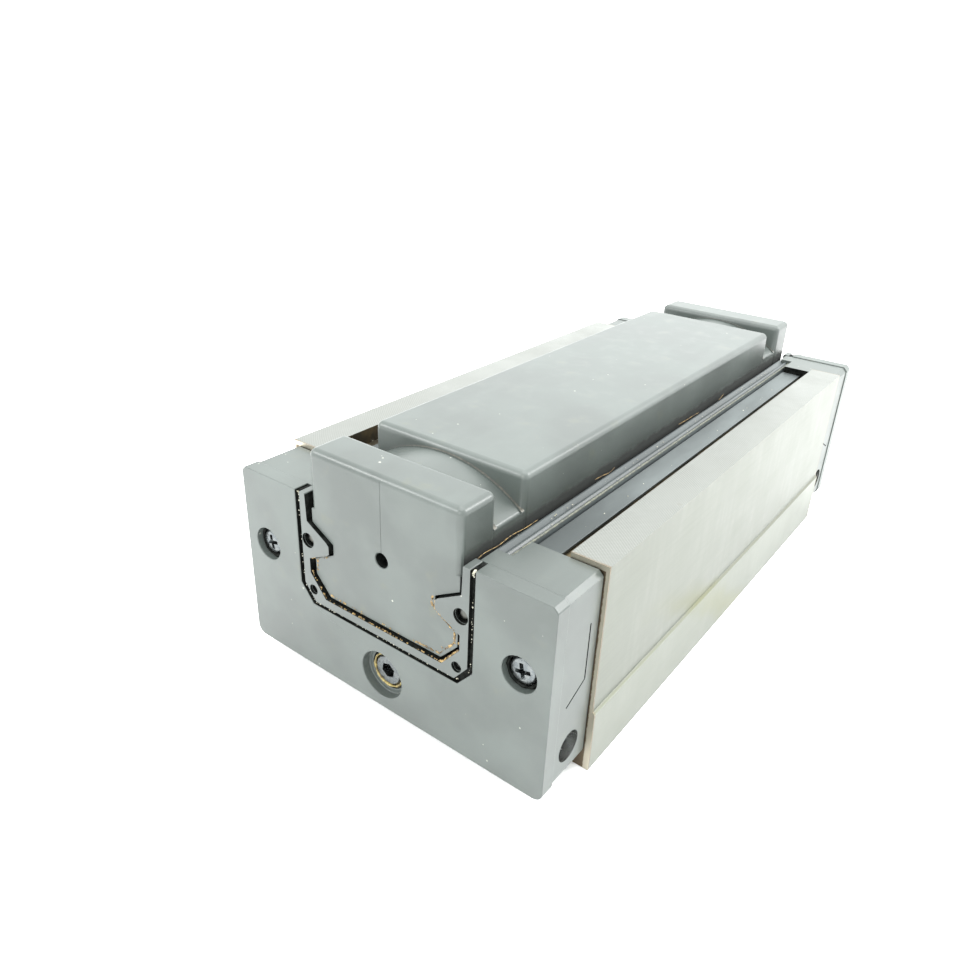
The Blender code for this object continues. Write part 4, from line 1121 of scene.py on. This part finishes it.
def make_lip_crumbs(end_name, end):
    """Golden crumbs of dried grease on the wiper lips, thickest at its right nose."""
    nose = [(21.4, 54.8), (21.5, 52.6), (23.2, 51.8), (27.0, 49.9), (29.8, 48.4)]
    corner = [(30.2, 45.0), (30.2, 42.5), (24.0, 35.0)]
    floor_line = [(24.0, 34.75), (-24.0, 34.75)]
    left = [(-30.0, 47.9), (-22.2, 51.8)]
    left_low = [(-30.2, 43.5), (-24.0, 34.9)]
    runs = [(nose, 60, 0.55), (corner, 40, 0.42), (floor_line, 70, 0.40), (left, 16, 0.34),
            (left_low, 22, 0.40), ([(26.8, 51.6), (27.6, 51.2)], 7, 1.1)]
    crust(f"{end_name}_lip_crumbs", runs, HALF_TOTAL, end, CARRIAGE, "dried_grease", 11 + end)
    gap = [(34.4, 70.0), (34.4, 37.2), (29.4, 31.2), (-29.4, 31.2), (-34.4, 37.2), (-34.4, 70.0)]
    tips = [([(34.6, 70.3), (33.8, 68.5)], 7, 0.5), ([(-34.6, 70.3), (-33.8, 67.0)], 7, 0.5)]
    crust(f"{end_name}_window_dust", [(gap, 90, 0.24), *tips], HALF_TOTAL - 0.25 * MM, end, CARRIAGE,
          "pale_dust", 23 + end)


def make_rail_crumbs(end_name, end):
    """Crumbs on the edge of the rail's end face, which ride out with the rail."""
    nose = [(19.6, 55.5), (19.6, 52.5), (22.2, 50.5), (27.6, 47.4)]
    corner = [(27.9, 46.8), (27.9, 43.2), (22.5, 36.8), (12.0, 36.4)]
    left_nose = [(-21.6, 51.4), (-28.0, 48.0), (-28.4, 43.4)]
    runs = [(nose, 70, 0.62), (corner, 80, 0.50), (left_nose, 30, 0.32),
            ([(-23.0, 36.6), (-16.0, 36.2)], 24, 0.36), ([(-16.0, 36.2), (12.0, 36.1)], 20, 0.24),
            ([(23.4, 39.2), (23.8, 39.4)], 4, 0.6)]
    crust(f"{end_name}_rail_crumbs", runs, RAIL_HIGH.y + 0.3 * MM, end, RAIL, "dried_grease", 31 + end)


RING_SECTION = ((-1, -3.0), (-1, 0.0), (-0.6, 0.8), (0.0, 1.1), (0.6, 0.8), (1, 0.0), (1, -3.0))


def lumpy_ring(name, radius, half_width, wobble, seed):
    """An uneven ring with a rounded top, round Z, as if squeezed out of a joint."""
    shape = bmesh.new()
    rings = []
    steps = 72
    for step in range(steps):
        angle = 2 * math.pi * step / steps
        spot = Vector((math.cos(angle), math.sin(angle), seed))
        half = half_width * (1.0 + wobble * noise.noise(spot * 2.7))
        centre = radius + 0.4 * half_width * noise.noise(spot.yxz * 3.0)
        ring = []
        for radial, height in RING_SECTION:
            out = centre + radial * half
            ring.append(shape.verts.new((out * math.cos(angle), out * math.sin(angle), height * half)))
        rings.append(ring)
    for step in range(steps):
        this, following = rings[step], rings[(step + 1) % steps]
        for index in range(len(this)):
            after = (index + 1) % len(this)
            shape.faces.new((this[index], following[index], following[after], this[after]))
    bmesh.ops.recalc_face_normals(shape, faces=shape.faces)
    ring_item = keep_mesh(name, shape)
    ring_item.data.shade_smooth()
    return ring_item


def make_screw_grime(corner, side, end):
    grime = lumpy_ring(f"{corner}_screw_grime", 5.10 * MM, 0.42 * MM, 0.75, side + 2 * end)
    aim(grime, (side * SCREW_PLACE[0], end * (HALF_TOTAL - 2.3 * MM), SCREW_PLACE[1]), (0.0, end, 0.0))
    show(grime, [], CARRIAGE, "black_rubber", ["sludge_and_shade"])


def fibre(shape, points, radius):
    """Add a thin thread along points to a shape."""
    sides = 6
    rings = []
    for index, point in enumerate(points):
        run = points[min(index + 1, len(points) - 1)] - points[max(index - 1, 0)]
        turn = run.to_track_quat("Z", "Y").to_matrix()
        angles = [2 * math.pi * step / sides for step in range(sides)]
        offsets = [Vector((radius * math.cos(a), radius * math.sin(a), 0.0)) for a in angles]
        rings.append([shape.verts.new(point + turn @ offset) for offset in offsets])
    for ring, following in zip(rings, rings[1:]):
        for step in range(sides):
            after = (step + 1) % sides
            shape.faces.new((ring[step], ring[after], following[after], following[step]))
    shape.faces.new(rings[0][::-1])
    shape.faces.new(rings[-1])


def make_fibres(side_name, side):
    """Golden fibres that lie along the lip beside the temporary rail."""
    shape = bmesh.new()
    stretches = ((-122.0, -92.0, 0.4), (-58.0, -46.0, 2.0), (4.0, 22.0, 3.3), (40.0, 48.0, 5.1))
    for start, stop, phase in stretches:
        count = 16
        points = []
        for step in range(count + 1):
            y = start + (stop - start) * step / count
            wave = noise.noise(Vector((y * 0.11, phase, side)))
            lift = noise.noise(Vector((y * 0.17, phase + 9.0, side)))
            points.append(Vector((side * (31.3 + 0.9 * wave), y, 70.35 + 0.3 * lift)) * MM)
        fibre(shape, points, 0.10 * MM)
    fibres = keep_mesh(f"{side_name}_fibres", shape)
    fibres.data.shade_smooth()
    show(fibres, [], CARRIAGE, "thread_sealant", ["dried_grease"])


def make_slot_dust(side_name, side):
    """Dust and fibres in the seams along the slot, between the lips, strips and legs."""
    dice = random.Random(47 + side)
    shape = bmesh.new()
    for x, z, count, size in ((33.1, 69.35, 46, 0.17), (35.3, 69.3, 30, 0.14), (49.3, 66.9, 40, 0.22),
                              (42.5, STRIP_HIGH.z / MM, 14, 0.2)):
        for _ in range(count):
            half = size * dice.uniform(0.4, 1.0)
            place = (side * (x + dice.uniform(-0.5, 0.5)) * MM, dice.uniform(-0.10, 0.10), z * MM)
            lump(shape, place, Vector((half, half * dice.uniform(0.8, 3.0), half * 0.7)) * MM, dice)
    dust = keep_mesh(f"{side_name}_slot_dust", shape)
    dust.data.shade_smooth()
    show(dust, [], CARRIAGE, "thread_sealant", ["pale_dust"])


# ---------------------------------------------------------------- build

def build():
    make_slide_body()
    for side_name, side in SIDES:
        for row, (load, back) in CIRCUITS.items():
            make_ball_circuit(side_name, side, row, load, back)
        make_ball_retainer(side_name, side)
        make_under_seal(side_name, side)
        make_under_strip(side_name, side)
        make_slot_dust(side_name, side)
        make_fibres(side_name, side)
    for end_name, end in ENDS:
        make_end_cap(end_name, end)
        make_end_plate(end_name, end)
        make_end_seal(end_name, end)
        make_grease_plug(end_name, end)
        make_plug_sealant(end_name, end)
        make_window_grease(end_name, end)
        make_lip_crumbs(end_name, end)
        make_rail_crumbs(end_name, end)
        for side_name, side in SIDES:
            corner = f"{end_name}_{side_name}"
            make_cap_screw(corner, side, end)
            make_screw_grime(corner, side, end)
            make_side_port_plug(corner, side, end)
            for level, place in SEAL_PINS.items():
                make_seal_pin(corner, side, end, level, place)
            for row, (load, back) in CIRCUITS.items():
                make_return_guide(corner, side, end, row, load, back)
    make_temporary_rail()


# ---------------------------------------------------------------- floor, light and camera

def make_stage():
    floor = block("floor", (-6.0, -6.0, -0.02), (6.0, 6.0, -0.0002))
    shade = Shade("floor_paper_look", roughness=0.9)
    tone = shade.mix(shade.span(shade.noise(900.0, 3.0), 0.3, 0.7), (0.90, 0.90, 0.90), (0.94, 0.94, 0.94))
    x, _, _ = shade.axes()
    # Painted shade: the floor darkens to 0.76 towards +X.
    tone = shade.mix(shade.span(x, 0.04, 0.35), tone, (0.76, 0.76, 0.76))
    floor.data.materials.append(shade.finish(tone))
    make_world()


def make_world():
    """A white studio, brighter behind the object than in front of it."""
    world = bpy.data.worlds.new("studio")
    bpy.context.scene.world = world
    world.use_nodes = True
    nodes, links = world.node_tree.nodes, world.node_tree.links
    direction = nodes.new("ShaderNodeTexCoord").outputs["Generated"]
    facing = nodes.new("ShaderNodeVectorMath")
    facing.operation = "DOT_PRODUCT"
    facing.inputs[1].default_value = (0.25, 0.97, 0.0)
    links.new(direction, facing.inputs[0])
    rise = nodes.new("ShaderNodeMapRange")
    rise.interpolation_type = "SMOOTHSTEP"
    for socket, value in (("From Min", -0.3), ("From Max", 0.9), ("To Min", 2.4), ("To Max", 3.15)):
        rise.inputs[socket].default_value = value
    links.new(facing.outputs["Value"], rise.inputs["Value"])
    background = nodes["Background"]
    background.inputs["Color"].default_value = (0.97, 1.0, 0.99, 1.0)
    links.new(rise.outputs["Result"], background.inputs["Strength"])


def area_light(name, place, target, size, power, colour=(1.0, 1.0, 1.0)):
    lamp = bpy.data.lights.new(name, "AREA")
    lamp.shape = "RECTANGLE"
    lamp.size, lamp.size_y = size
    lamp.energy = power
    lamp.color = colour
    item = bpy.data.objects.new(name, lamp)
    item.location = place
    item.rotation_euler = (Vector(place) - Vector(target)).to_track_quat("Z", "Y").to_euler()
    item.visible_camera = False
    bpy.context.scene.collection.objects.link(item)


def make_lights():
    area_light("top_softbox", (0.0, 0.1, 1.5), (0.0, 0.0, 0.0), (1.6, 1.6), 30.0)
    area_light("front_softbox", (0.35, -1.3, 0.75), (0.0, 0.0, 0.03), (0.8, 0.3), 8.0)
    area_light("left_strip_light", (-0.85, -0.90, 0.83), (0.0, 0.0, 0.05), (0.45, 0.30), 10.0)
    area_light("rear_strip_light", (0.92, 0.84, 0.83), (0.0, 0.0, 0.05), (0.45, 0.30), 14.0)


def make_camera():
    camera = bpy.data.objects.new("camera", bpy.data.cameras.new("camera"))
    bpy.context.scene.collection.objects.link(camera)
    camera.location = CAMERA_PLACE
    camera.rotation_euler = Euler([math.radians(angle) for angle in CAMERA_TURN], "XYZ")
    camera.data.lens = CAMERA_LENS
    camera.data.sensor_width = 36.0
    camera.data.clip_start = 0.01
    bpy.context.scene.camera = camera


build()
make_stage()
make_lights()
make_camera()
bpy.context.scene.view_settings.view_transform = "Standard"

bpy.context.view_layer.update()
